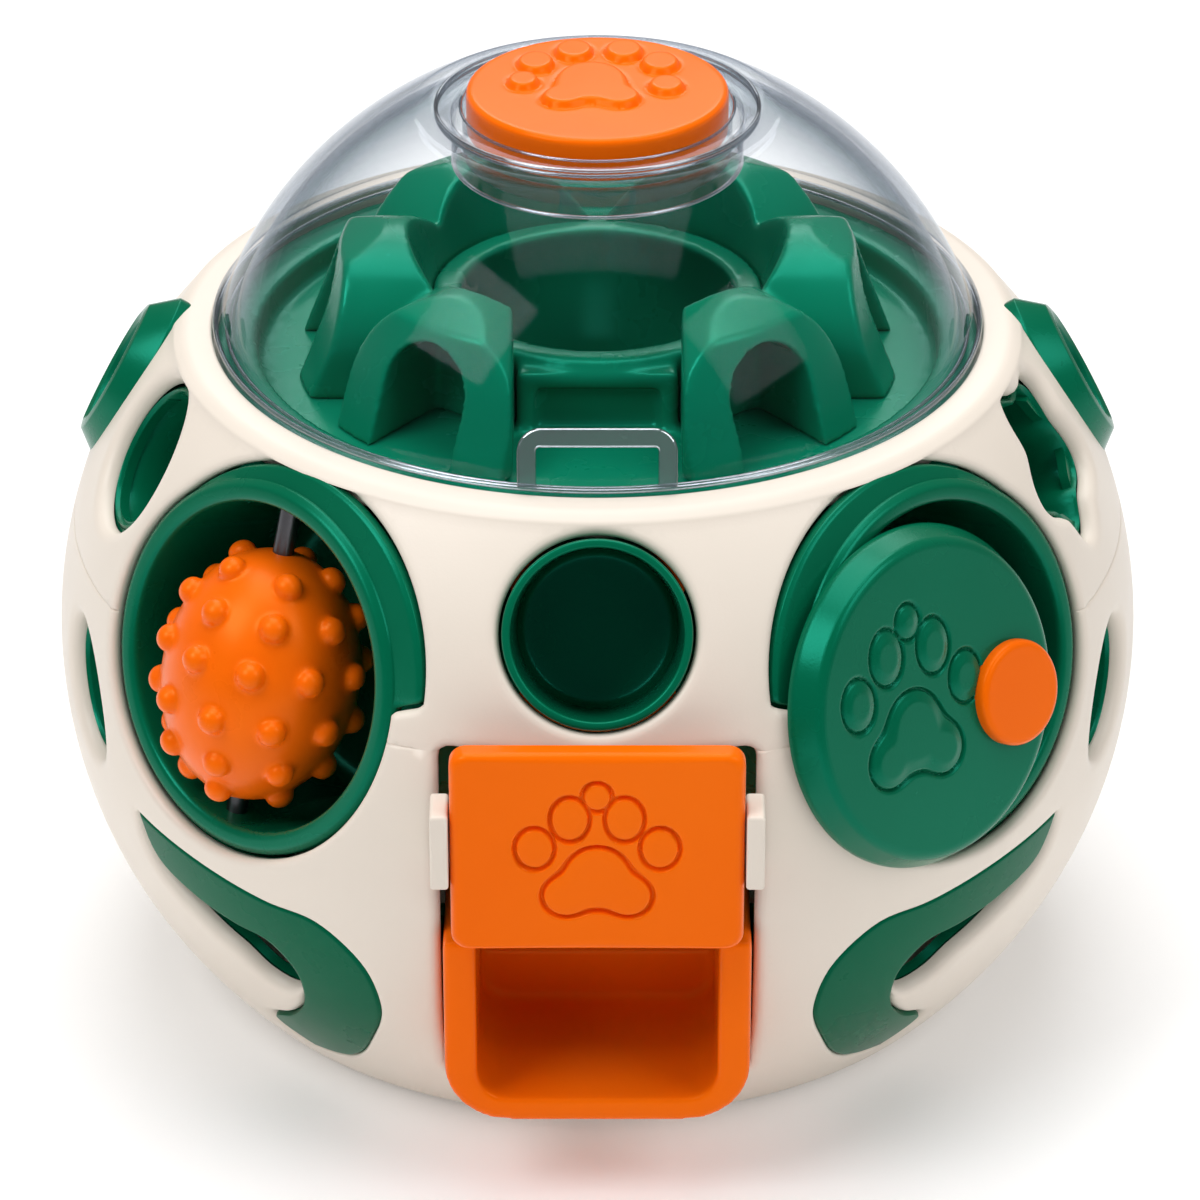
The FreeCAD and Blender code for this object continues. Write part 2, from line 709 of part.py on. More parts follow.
# Swing lid over the front right pot, with its knob and pin
right = number("port_azimuth")
LATITUDE = number("port_latitude")
LID_BASE = "pot_face + lid_gap"
lid_place = outwards(right, LATITUDE, right=-number("lid_left"), up=-number("lid_down"))
lid_blank = turned("lid_blank", [
    ("0", LID_BASE),
    ("lid_radius", LID_BASE),
    ("lid_radius", LID_BASE + " + lid_edge"),
    ("lid_face_radius", LID_BASE + " + lid_wall"),
    ("0", LID_BASE + " + lid_wall"),
], lid_place)
pin_hole = cylinder("pin_hole", "lid_pin_radius + running_gap", "lid_wall - 1",
                    outwards(right, LATITUDE, number(LID_BASE), right=-number("lid_pin_left"),
                             up=-number("lid_down")))
lid_paw = paw("lid_paw", PAW_FIVE, number("lid_paw_scale"),
              outwards(right, LATITUDE, number(LID_BASE + " + lid_wall"),
                       right=-number("lid_left + lid_paw_left"), up=-number("lid_down + lid_paw_down"),
                       turn=number("lid_paw_turn")))
node("swing_lid", fused("swing_lid", [less("lid_bored", lid_blank, pin_hole)] + lid_paw))
node("lid_pin", cylinder("lid_pin", "lid_pin_radius", "2.4 + lid_gap + lid_wall - 1.3",
                         outwards(right, LATITUDE, number("pot_face - 2.4"),
                                  right=-number("lid_pin_left"), up=-number("lid_down"))))
LID_FACE = LID_BASE + " + lid_wall"
node("lid_knob", turned("lid_knob", [
    ("0", LID_FACE),
    ("knob_radius", LID_FACE),
    ("knob_radius", LID_FACE + " + knob_height - knob_rounding"),
    ("knob_radius - knob_rounding", LID_FACE + " + knob_height", "knob_radius - knob_rounding",
     LID_FACE + " + knob_height - knob_rounding"),
    ("0", LID_FACE + " + knob_height"),
], outwards(right, LATITUDE, right=number("knob_right - lid_left"),
            up=-number("knob_down + lid_down"))))

# Round cups in the front and rear holes
for name, azimuth in hole_places.items():
    node(name + "_cup", turned(name + "_cup", [
        ("0", "hole_floor"),
        ("hole_radius", "hole_floor"),
        ("hole_radius", "hole_face"),
        ("hole_radius - hole_cup_wall", "hole_face"),
        ("hole_radius - hole_cup_wall", "hole_floor + hole_cup_wall"),
        ("0", "hole_floor + hole_cup_wall"),
    ], outwards(azimuth, number("hole_latitude"))))

# Maze: a deck with a cup in the middle and a panel before it, arches round it and four legs down
# to the bosses
deck = turned("deck", [
    ("cup_radius", "cup_floor + cup_wall"),
    ("0", "cup_floor + cup_wall"),
    ("0", "cup_floor"),
    ("cup_radius + cup_side", "cup_floor"),
    ("cup_radius + cup_side", "deck_height - deck_wall"),
    ("deck_radius", "deck_height - deck_wall"),
    ("deck_radius", LEDGE + " + ledge_wall"),
    ("seat_radius - dome_gap", LEDGE + " + ledge_wall"),
    ("seat_radius - dome_gap", LEDGE + " + ledge_wall + ledge_wall"),
    ("deck_radius - deck_wall", LEDGE + " + ledge_wall + ledge_wall"),
    ("deck_radius - deck_wall", "deck_height"),
    ("cup_radius + cup_side", "deck_height"),
    ("cup_radius + cup_side", "cup_top"),
    ("cup_radius", "cup_top"),
])
CUP_OUTSIDE = "(cup_radius + cup_side)"
panel = block("panel", ["-panel_half_width", "-" + CUP_OUTSIDE + " - 1", "deck_height - deck_wall / 2"],
              ["panel_half_width", "-cup_radius - cup_side / 2", "deck_height + panel_height"])
recess = block("recess", ["-panel_half_width + panel_edge", "-" + CUP_OUTSIDE + " - 2", "deck_height"],
               ["panel_half_width - panel_edge", "-" + CUP_OUTSIDE + " + 0.8",
                "deck_height + panel_height - panel_edge"])
panel_room = block("panel_room", ["-panel_half_width - liner_gap", "-2 * arch_foot", "deck_height - deck_wall"],
                   ["panel_half_width + liner_gap", "-cup_radius", "2 * arch_crest"])
first_arches = [number("arch_azimuth + %d * arch_step" % place) for place in range(3)]
HALF_ARCH = "arch_width / 2"
HALF_TUNNEL = "arch_tunnel / 2"
RISE = "(arch_crest - deck_height)"
TUNNEL_RISE = "(arch_crest - deck_height - arch_wall)"
MOUTH_DROP = "(arch_crest - arch_wall / 2)"
arches = {-1: [], 1: []}
tunnels = {-1: [], 1: []}
for side, turn in [(side, turn) for side in (-1, 1) for turn in first_arches]:
    arches[side].append(padded("arch", [
        ("-" + HALF_ARCH, "0"),
        (HALF_ARCH, "0"),
        (HALF_ARCH, RISE + " - " + HALF_ARCH),
        ("0", RISE, "0", RISE + " - " + HALF_ARCH),
        ("-" + HALF_ARCH, RISE + " - " + HALF_ARCH, "0", RISE + " - " + HALF_ARCH),
    ], "arch_reach", outwards(side * turn, 0, number("cup_radius"), height=number("deck_height"))))
    tunnels[side].append(padded("tunnel", [
        ("-" + HALF_TUNNEL, "-deck_wall"),
        (HALF_TUNNEL, "-deck_wall"),
        (HALF_TUNNEL, TUNNEL_RISE + " - " + HALF_TUNNEL),
        ("0", TUNNEL_RISE, "0", TUNNEL_RISE + " - " + HALF_TUNNEL),
        ("-" + HALF_TUNNEL, TUNNEL_RISE + " - " + HALF_TUNNEL, "0", TUNNEL_RISE + " - " + HALF_TUNNEL),
    ], "arch_reach", outwards(side * turn, 0, number("cup_radius + 2 * cup_side"),
                              height=number("deck_height"))))
arch_room = turned("arch_room", [
    ("cup_radius + cup_side", "deck_height"),
    ("arch_foot", "deck_height"),
    ("arch_reach", MOUTH_DROP),
    ("arch_ridge + arch_lean", "arch_crest"),
    ("arch_ridge", "arch_crest"),
    ("cup_radius + cup_side", "cup_top"),
])
for name, side in (("left_arches", -1), ("right_arches", 1)):
    row = shared(name + "_row", fused(name + "_blank", arches[side]), arch_room)
    node(name, less(name, row, fused(name + "_ways", tunnels[side] + [panel_room])))
leg_posts = [cylinder("leg", "leg_radius", "deck_height - boss_height - deck_wall / 2",
                      around(azimuth, LEG_CIRCLE, number("boss_height"))) for azimuth in legs]
leg_bores = [cylinder("leg_bore", "screw_radius", "screw_length",
                      around(azimuth, LEG_CIRCLE, number("boss_height"))) for azimuth in legs]
drop_way = cylinder("drop_way", "drop_radius", "2 * cup_wall",
                    FreeCAD.Placement(UP * number("cup_floor - cup_wall / 2"), FreeCAD.Rotation()))
maze_whole = fused("maze_whole", [deck, panel] + leg_posts)
node("maze", less("maze", maze_whole, fused("maze_ways", leg_bores + [drop_way, recess])))
doc.recompute()

# Screws, one behind each boss
screws = []
for azimuth in legs:
    shank = cylinder("shank", "screw_radius", "screw_length",
                     around(azimuth, LEG_CIRCLE, number("port_gap + screw_head_wall - 0.1")))
    head = cylinder("head", "screw_head", "screw_head_wall",
                    around(azimuth, LEG_CIRCLE, number("port_gap")))
    screws.append(fused("screw", [shank, head]))
group = doc.addObject("Part::Compound", "base_screws")
group.Links = screws
node("base_screws", group)

# Dome: a cap of a sphere with a flange at the rim and a saucer round the button well
DOME_FOOT = LEDGE + " + 2 * ledge_wall + dome_gap / 2"
DOME_START = DOME_FOOT + " + flange_wall"


def dome_radius(height, inset="0"):
    return "sqrt((dome_arc - (%s))^2 - ((%s) - dome_centre)^2)" % (inset, height)


def dome_height(radius, inset="0"):
    return "dome_centre + sqrt((dome_arc - (%s))^2 - (%s)^2)" % (inset, radius)


WELL_HOLE = "well_radius + dome_gap / 2"
dome = turned("dome", [
    (dome_radius(DOME_START, "dome_wall"), DOME_FOOT),
    ("seat_radius - dome_gap", DOME_FOOT),
    ("seat_radius - dome_gap", DOME_START),
    (dome_radius(DOME_START), DOME_START),
    ("saucer_radius", dome_height("saucer_radius"), "0", "dome_centre"),
    (WELL_HOLE, dome_height("saucer_radius") + " - saucer_fall"),
    (WELL_HOLE, dome_height("saucer_radius") + " - saucer_fall - dome_wall"),
    ("saucer_radius - dome_wall / 2", dome_height("saucer_radius - dome_wall / 2", "dome_wall")),
    (dome_radius(DOME_START, "dome_wall"), DOME_START, "0", "dome_centre"),
])
node("dome", dome)

latch_spot = outwards(0, number("latch_latitude"), number("dome_arc - latch_proud"),
                      height=number("dome_centre"))
HALF_LATCH = "latch_width / 2"
latch_blank = padded("latch_blank", [
    ("-" + HALF_LATCH, "-latch_height / 2"),
    ("-" + HALF_LATCH + " + latch_bar", "-latch_height / 2"),
    ("-" + HALF_LATCH + " + latch_bar", "latch_height / 2 - latch_bar"),
    (HALF_LATCH + " - latch_bar", "latch_height / 2 - latch_bar"),
    (HALF_LATCH + " - latch_bar", "-latch_height / 2"),
    (HALF_LATCH, "-latch_height / 2"),
    (HALF_LATCH, "latch_height / 2"),
    ("-" + HALF_LATCH, "latch_height / 2"),
], "2 * latch_proud", latch_spot)
ball = doc.addObject("Part::Sphere", "dome_ball")
bind(ball, Radius="dome_arc")
ball.Placement.Base = UP * number("dome_centre")
node("dome_latch", less("dome_latch", latch_blank, ball))

# Button well, button and spring
WELL_SEAT = dome_height("saucer_radius")
node("button_well", turned("button_well", [
    ("0", "well_floor"),
    ("well_radius", "well_floor"),
    ("well_radius", WELL_SEAT + " - saucer_fall / 2"),
    ("well_radius + well_flange", WELL_SEAT + " - saucer_fall / 2"),
    ("well_radius + well_flange", WELL_SEAT + " - saucer_fall / 2 + well_flange_wall"),
    ("well_radius - well_wall", WELL_SEAT + " - saucer_fall / 2 + well_flange_wall"),
    ("well_radius - well_wall", "well_floor + well_floor_wall"),
    ("spigot_radius", "well_floor + well_floor_wall"),
    ("spigot_radius", "well_floor + well_floor_wall + spigot_height"),
    ("0", "well_floor + well_floor_wall + spigot_height"),
]))
button = turned("button_cap", [
    ("0", "button_top - button_wall"),
    ("button_radius - button_wall", "button_top - button_wall"),
    ("button_radius - button_wall", "button_top - button_skirt"),
    ("button_radius", "button_top - button_skirt"),
    ("button_radius", "button_top - button_rounding"),
    ("button_radius - button_rounding", "button_top", "button_radius - button_rounding",
     "button_top - button_rounding"),
    ("0", "button_top"),
])
button_paw = paw("button_paw", PAW_SIX, 1.0,
                 FreeCAD.Placement(UP * number("button_top"), FreeCAD.Rotation()))
node("top_button", fused("top_button", [button] + button_paw))
coil = doc.addObject("Part::Helix", "coil")
SPRING_SPAN = "button_top - button_wall - well_floor - well_floor_wall - spring_wire"
bind(coil, Radius="spring_radius", Height=SPRING_SPAN, Pitch="(" + SPRING_SPAN + ") / spring_turns")
coil.Placement.Base = UP * number("well_floor + well_floor_wall + spring_wire / 2")
wire = doc.addObject("Sketcher::SketchObject", "spring_wire_round")
wire.addGeometry(Part.Circle(Vector(), UP, number("spring_wire / 2")), False)
wire.addConstraint(Sketcher.Constraint("Coincident", 0, 3, -1, 1))
radius_mark = wire.addConstraint(Sketcher.Constraint("Radius", 0, number("spring_wire / 2")))
wire.setExpression("Constraints[%d]" % radius_mark, bound("spring_wire / 2"))
wire.Placement = FreeCAD.Placement(
    Vector(number("spring_radius"), 0, number("well_floor + well_floor_wall + spring_wire / 2")),
    FreeCAD.Rotation(Vector(1, 0, 0), 90))
spring = doc.addObject("Part::Sweep", "button_spring")
spring.Sections = [wire]
spring.Spine = (coil, [])
spring.Solid = True
spring.Frenet = True
node("button_spring", spring)
doc.recompute()

# Gate: a plate with a tongue at each side, which slides in two clips
gate_place = FreeCAD.Placement(Vector(0, -number("gate_face - gate_wall"), number("gate_bottom")),
                               FreeCAD.Rotation(Vector(1, 0, 0), 90))
HALF_GATE = "gate_width / 2"
plate = padded("gate_plate", [
    ("-" + HALF_GATE + " + gate_corner", "0", "-" + HALF_GATE + " + gate_corner", "gate_corner"),
    (HALF_GATE + " - gate_corner", "0"),
    (HALF_GATE, "gate_corner", HALF_GATE + " - gate_corner", "gate_corner"),
    (HALF_GATE, "gate_height - gate_corner"),
    (HALF_GATE + " - gate_corner", "gate_height", HALF_GATE + " - gate_corner",
     "gate_height - gate_corner"),
    ("-" + HALF_GATE + " + gate_corner", "gate_height"),
    ("-" + HALF_GATE, "gate_height - gate_corner", "-" + HALF_GATE + " + gate_corner",
     "gate_height - gate_corner"),
    ("-" + HALF_GATE, "gate_corner"),
], "gate_wall", gate_place)
front_plane = number("gate_wall")
rounded(plate, "gate_rounding", lambda edge: all(abs(v.Z - front_plane) < 0.01 for v in edge.Vertexes))
tongues = block("gate_tongues",
                ["-" + HALF_GATE + " - gate_tongue", "-gate_face + gate_wall", "clip_bottom - tongue_spare"],
                [HALF_GATE + " + gate_tongue", "-gate_face + gate_wall + gate_tongue_wall",
                 "clip_bottom + clip_height + tongue_spare"])
gate_paw = paw("gate_paw", PAW_FIVE, 1.0, outwards(0, 0, number("gate_face"),
                                                     height=number("gate_bottom + gate_height / 3")))
node("front_gate", fused("front_gate", [plate, tongues] + gate_paw))

TONGUE_TIP = "(gate_width / 2 + gate_tongue + clip_gap)"
TONGUE_FRONT = "(-gate_face + gate_wall - clip_gap)"
TONGUE_BACK = "(-gate_face + gate_wall + gate_tongue_wall + clip_gap)"
for name, side in (("left_clip", -1), ("right_clip", 1)):
    def span(near, far):
        """The X limits of a block that lies from near to far on this side."""
        return (near, far) if side > 0 else ("-" + far, "-" + near)
    lip = span("(gate_width / 2 + clip_gap)", "(" + TONGUE_TIP + " + clip_wall)")
    wall = span(TONGUE_TIP, "(" + TONGUE_TIP + " + clip_wall)")
    back = span("(gate_width / 2 + clip_gap)", "(" + TONGUE_TIP + " + clip_wall)")
    ends = ("clip_bottom", "clip_bottom + clip_height")
    pieces = [
        block(name + "_lip", [lip[0], TONGUE_FRONT + " - clip_wall", ends[0]],
              [lip[1], TONGUE_FRONT, ends[1]]),
        block(name + "_wall", [wall[0], TONGUE_FRONT + " - clip_wall", ends[0]],
              [wall[1], TONGUE_BACK + " + clip_wall", ends[1]]),
        block(name + "_back", [back[0], TONGUE_BACK, ends[0]],
              [back[1], TONGUE_BACK + " + clip_root", ends[1]]),
    ]
    clip = fused(name + "_whole", pieces)
    node(name, less(name, clip, lower_blank))
doc.recompute()

# Treat tray: a scoop with a rounded rim, low at the back where treats fall in
HALF_TRAY = "tray_width / 2"


def scoop(half, low, high, corner):
    """Outline of a scoop seen from the front: open top, rounded lower corners."""
    return [
        ("-(" + half + ")", high),
        ("-(" + half + ")", low + " + " + corner),
        ("-(" + half + ") + " + corner, low, "-(" + half + ") + " + corner, low + " + " + corner),
        ("(" + half + ") - " + corner, low),
        ("(" + half + ")", low + " + " + corner, "(" + half + ") - " + corner, low + " + " + corner),
        ("(" + half + ")", high),
    ]


def from_front(distance):
    """Placement of an outline drawn in X and Z whose depth runs back from the front."""
    return FreeCAD.Placement(Vector(0, -distance, 0), FreeCAD.Rotation(
        Vector(1, 0, 0), Vector(0, 0, 1), Vector(0, -1, 0), "ZXY"))


TRAY_BACK = number("tray_face - tray_depth")
tray_blank = padded("tray_blank", scoop(HALF_TRAY, "tray_bottom", "tray_top", "tray_corner"),
                    "tray_depth", from_front(TRAY_BACK))
TRAY_INSIDE = "tray_corner - tray_rim"
tray_hollow = padded("tray_hollow", scoop(HALF_TRAY + " - tray_rim", "(tray_bottom + tray_floor_wall)",
                                          "(tray_top + tray_rim)", "(" + TRAY_INSIDE + ")"),
                     "tray_depth + tray_rim", from_front(TRAY_BACK + number("tray_back_wall")))
tray_way = block("tray_way", ["-" + HALF_TRAY + " + tray_rim", "-tray_face + tray_depth - tray_rim",
                              "tray_bottom + tray_back_height"],
                 [HALF_TRAY + " - tray_rim", "-tray_face + tray_depth + tray_rim", "tray_top + tray_rim"])
node("treat_tray", less("treat_tray", tray_blank, fused("tray_ways", [tray_hollow, tray_way])))

guide_blank = block("guide_blank",
                    ["-" + HALF_OPENING + " - tray_guide_wall", "-side_arc - belly_offset", "shell_wall"],
                    [HALF_OPENING + " + tray_guide_wall", "-tray_face + tray_depth + 2 * tray_gap",
                     "tray_bottom + tray_guide_height"])
guide_way = block("guide_way", ["-" + HALF_OPENING, "-side_arc - belly_offset", "tray_bottom - tray_gap"],
                  [HALF_OPENING, "0", "tray_top"])
guide_floor_way = block("guide_floor_way", ["-" + HALF_OPENING, "-side_arc - belly_offset", "0"],
                        [HALF_OPENING, "0", "tray_bottom - tray_gap - tray_guide_wall"])
guide_cut = less("guide_cut", guide_blank, fused("guide_ways", [guide_way, guide_floor_way]))
inside = turned("inside", [
    ("0", "shell_wall"),
    (shell_radius("shell_wall", "shell_wall"), "shell_wall"),
    (shell_radius("seam_height", "shell_wall"), "seam_height") + CENTRE,
    ("0", "seam_height"),
])
node("tray_guide", shared("tray_guide", guide_cut, inside))

# Chute: a sloped trough on a rib, from the back of the ball down to the tray
CHUTE_FRONT = "(-tray_face + tray_depth + 3 * tray_gap)"
CHUTE_LOW = "(tray_bottom + tray_back_height + chute_wall)"
chute_place = FreeCAD.Placement(Vector(-number("chute_width / 2"), 0, 0), FreeCAD.Rotation(
    Vector(0, 1, 0), Vector(0, 0, 1), Vector(1, 0, 0), "ZXY"))
trough = padded("trough", [
    (CHUTE_FRONT, CHUTE_LOW + " - chute_wall"),
    ("chute_back", "chute_high - chute_wall"),
    ("chute_back", "chute_high + chute_side"),
    (CHUTE_FRONT, CHUTE_LOW + " + chute_side"),
], "chute_width", chute_place)
trough_way = padded("trough_way", [
    (CHUTE_FRONT + " - 1", CHUTE_LOW),
    ("chute_back + 1", "chute_high"),
    ("chute_back + 1", "chute_high + 4 * chute_side"),
    (CHUTE_FRONT + " - 1", CHUTE_LOW + " + 4 * chute_side"),
], "chute_width - 2 * chute_wall", FreeCAD.Placement(
    Vector(-number("chute_width / 2 - chute_wall"), 0, 0), chute_place.Rotation))
rib = padded("chute_rib", [
    (CHUTE_FRONT + " + chute_side", "shell_wall"),
    ("chute_back", "shell_wall"),
    ("chute_back", "chute_high - chute_wall / 2"),
    (CHUTE_FRONT + " + chute_side", CHUTE_LOW + " - chute_wall / 2"),
], "2 * chute_wall", FreeCAD.Placement(Vector(-number("chute_wall"), 0, 0), chute_place.Rotation))
chute_open = less("chute_open", trough, trough_way)
node("treat_chute", fused("treat_chute", [chute_open, rib]))
doc.recompute()

# Everything is checked before it is written
os.makedirs("parts", exist_ok=True)
faults = [item.Name for item in doc.Objects if {"Invalid", "Error"} & set(item.State)]
for name, thing in parts.items():
    if thing.Shape.isNull() or not thing.Shape.isValid() or not thing.Shape.Solids:
        faults.append(name)
if faults:
    raise SystemExit("these did not build: " + ", ".join(faults))
for name, thing in parts.items():
    thing.Shape.exportStep("parts/%s.step" % name)
    print(name, len(thing.Shape.Solids), "solids", round(thing.Shape.Volume), "mm3")
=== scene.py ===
# %% [markdown]
# # A treat puzzle ball
# The ball is a cream shell that stands on a flat base, with green pots in round ports, a clear dome
# over a green maze, and orange pieces that a pet pushes, spins, swings and pulls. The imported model
# gives every moving body its place. This lesson makes each visible piece again as a smooth surface
# worked out with numpy, and lets it ride on the body that it belongs to. Lengths are in millimetres
# until a mesh is made, and the front of the ball looks towards -Y.

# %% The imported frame
import json
import math

import bmesh
import bpy
import numpy as np
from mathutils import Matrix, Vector
from mathutils.geometry import delaunay_2d_cdt


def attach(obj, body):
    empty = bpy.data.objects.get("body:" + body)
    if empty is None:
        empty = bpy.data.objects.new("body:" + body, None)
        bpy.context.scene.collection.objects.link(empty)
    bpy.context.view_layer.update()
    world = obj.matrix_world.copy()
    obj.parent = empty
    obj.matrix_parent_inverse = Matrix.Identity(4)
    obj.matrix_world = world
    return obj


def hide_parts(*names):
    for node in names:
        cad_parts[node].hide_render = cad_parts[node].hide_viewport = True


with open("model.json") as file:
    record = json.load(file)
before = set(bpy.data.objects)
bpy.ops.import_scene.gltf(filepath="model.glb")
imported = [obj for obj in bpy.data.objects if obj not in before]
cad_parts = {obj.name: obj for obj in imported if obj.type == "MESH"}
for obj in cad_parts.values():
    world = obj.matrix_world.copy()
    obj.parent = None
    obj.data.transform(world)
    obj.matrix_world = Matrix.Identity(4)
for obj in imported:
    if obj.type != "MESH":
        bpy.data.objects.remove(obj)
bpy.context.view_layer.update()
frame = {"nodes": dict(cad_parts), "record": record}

# %% [markdown]
# ## Directions on the ball
# Most pieces sit on an axis that points out of the ball at some azimuth and latitude. So a piece is
# worked out in its own frame, with x to the viewer's right, y up and the distance from the middle of
# the belly as the third number, and is then carried to its place by three unit vectors.

# %% Directions
MM = 0.001
BELLY_HEIGHT, BELLY_OFFSET, SIDE_ARC, SHELL_WALL = 51.0, 8.0, 72.0, 2.4
SEAM_HEIGHT = 70.6


def directions(azimuth, latitude):
    """Unit vectors out of the ball, to the right and up, at an azimuth and a latitude in degrees."""
    a, l = math.radians(azimuth), math.radians(latitude)
    out = np.array([math.cos(l) * math.sin(a), -math.cos(l) * math.cos(a), math.sin(l)])
    side = np.array([math.cos(a), math.sin(a), 0.0])
    return out, side, np.cross(out, side)


def carried(local, azimuth=0.0, latitude=90.0, height=BELLY_HEIGHT, right=0.0, up=0.0):
    """Points in space: the middle, plus x along side, y along above and the distance along out."""
    out, side, above = directions(azimuth, latitude)
    middle = np.array([0.0, 0.0, height]) + right * side + up * above
    return middle + local[..., 0:1] * side + local[..., 1:2] * above + local[..., 2:3] * out


print("the front port looks along", directions(-42.8, 16.0)[0].round(3))

# %% [markdown]
# ## From arrays to meshes
# A grid of points becomes quads between neighbouring rows. Where a row has shrunk to one point, as
# on the axis of a turned piece, the doubled vertices are merged, which closes the pole. The normals
# are then turned outwards, and only edges sharper than a stated angle stay sharp.

# %% Meshes
def grid_faces(rows, columns, wrap=True):
    """Quads of a grid: each joins a vertex, the next one along its row, and the two above them."""
    index = np.arange(rows * columns).reshape(rows, columns)
    ahead = np.roll(index, -1, axis=1)
    quads = np.stack([index[:-1], ahead[:-1], ahead[1:], index[1:]], axis=-1)
    return (quads if wrap else quads[:, :-1]).reshape(-1, 4)


def mesh_of(name, points, faces):
    """Mesh of points in millimetres and faces of one size each."""
    mesh = bpy.data.meshes.new(name)
    mesh.vertices.add(len(points))
    mesh.vertices.foreach_set("co", (points * MM).astype(np.float32).ravel())
    mesh.loops.add(faces.size)
    mesh.loops.foreach_set("vertex_index", faces.astype(np.int32).ravel())
    mesh.polygons.add(len(faces))
    mesh.polygons.foreach_set("loop_start", np.arange(0, faces.size, faces.shape[1], dtype=np.int32))
    mesh.update(calc_edges=True)
    mesh.validate()
    return mesh

# %% A piece on its body
def piece(name, points, faces, body, finish, nodes=(), sharp=50.0, merge=0.004):
    """A piece made of arrays. It rides on its body and stands for the nodes that it replaces."""
    mesh = mesh_of(name, points.reshape(-1, 3), faces)
    work = bmesh.new()
    work.from_mesh(mesh)
    bmesh.ops.remove_doubles(work, verts=work.verts, dist=merge * MM)
    bmesh.ops.recalc_face_normals(work, faces=work.faces)
    work.to_mesh(mesh)
    work.free()
    mesh.shade_smooth()
    mesh.set_sharp_from_angle(angle=math.radians(sharp))
    thing = bpy.data.objects.new(name, mesh)
    bpy.context.scene.collection.objects.link(thing)
    mesh.materials.append(finish)
    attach(thing, body)
    if nodes:
        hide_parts(*nodes)
    print(name, len(mesh.vertices), "vertices")


def joined(parts):
    """Several (points, faces) pairs as one, with the faces renumbered."""
    points, faces, start = [], [], 0
    for more, quads in parts:
        points.append(more.reshape(-1, 3))
        faces.append(quads + start)
        start += len(points[-1])
    return np.concatenate(points), np.concatenate(faces)


# %% [markdown]
# ## Finishes
# Moulded plastic is never one flat colour: thick places are a shade deeper, the gloss is broken by
# a fine grain from the mould, and handling leaves faint dull patches. Each finish is one Principled
# shader. A slow noise moves the colour between two close shades, another moves the roughness, and a
# fine noise gives a very low bump. All of them read Object coordinates, so they stay on the piece.

# %% Plastic and steel
DRIFT_SCALE, WEAR_SCALE, GRAIN_SCALE, GRAIN_DEPTH = 22.0, 90.0, 2600.0, 0.00008


def new_finish(name):
    """A new material with its nodes, its links and its Principled shader."""
    finish = bpy.data.materials.new(name)
    finish.use_nodes = True
    nodes = finish.node_tree.nodes
    return finish, nodes, finish.node_tree.links, nodes["Principled BSDF"]


def noise(nodes, links, coordinates, scale, detail):
    """A noise pattern of that scale on the piece's own coordinates."""
    pattern = nodes.new("ShaderNodeTexNoise")
    pattern.inputs["Scale"].default_value = scale
    pattern.inputs["Detail"].default_value = detail
    links.new(coordinates.outputs["Object"], pattern.inputs["Vector"])
    return pattern.outputs["Fac"]


def spread_noise(nodes, links, coordinates, scale, detail, low, high):
    """The same pattern with its middle values spread evenly between low and high."""
    spread = nodes.new("ShaderNodeMapRange")
    spread.inputs["From Min"].default_value = 0.3
    spread.inputs["From Max"].default_value = 0.7
    spread.inputs["To Min"].default_value = low
    spread.inputs["To Max"].default_value = high
    links.new(noise(nodes, links, coordinates, scale, detail), spread.inputs["Value"])
    return spread.outputs["Result"]


def shades_between(nodes, links, factor, first, second):
    """Colour that runs from the first shade to the second as the factor goes from 0 to 1."""
    shades = nodes.new("ShaderNodeMix")
    shades.data_type = "RGBA"
    shades.inputs["A"].default_value = (*first, 1.0)
    shades.inputs["B"].default_value = (*second, 1.0)
    links.new(factor, shades.inputs["Factor"])
    return shades.outputs["Result"]


def bumped(nodes, links, height, strength, distance, shader):
    """Tilts the shader's normal by the slopes of a height pattern, distance metres deep."""
    bump = nodes.new("ShaderNodeBump")
    bump.inputs["Strength"].default_value = strength
    bump.inputs["Distance"].default_value = distance
    links.new(height, bump.inputs["Height"])
    links.new(bump.outputs["Normal"], shader.inputs["Normal"])

# %% Moulded finishes
def moulded(name, deep, light, roughness, grain, gloss=0.4, glint=(1.0, 1.0, 1.0), metal=0.0):
    """Finish that drifts from the deep to the light shade, with roughness (low, high) and a grain."""
    finish, nodes, links, shader = new_finish(name)
    coordinates = nodes.new("ShaderNodeTexCoord")
    drift = spread_noise(nodes, links, coordinates, DRIFT_SCALE, 3.0, 0.0, 1.0)
    links.new(shades_between(nodes, links, drift, deep, light), shader.inputs["Base Color"])
    wear = spread_noise(nodes, links, coordinates, WEAR_SCALE, 4.0, *roughness)
    links.new(wear, shader.inputs["Roughness"])
    bumped(nodes, links, noise(nodes, links, coordinates, GRAIN_SCALE, 2.0), grain, GRAIN_DEPTH, shader)
    shader.inputs["Metallic"].default_value = metal
    shader.inputs["Specular IOR Level"].default_value = gloss
    shader.inputs["Specular Tint"].default_value = (*glint, 1.0)
    return finish

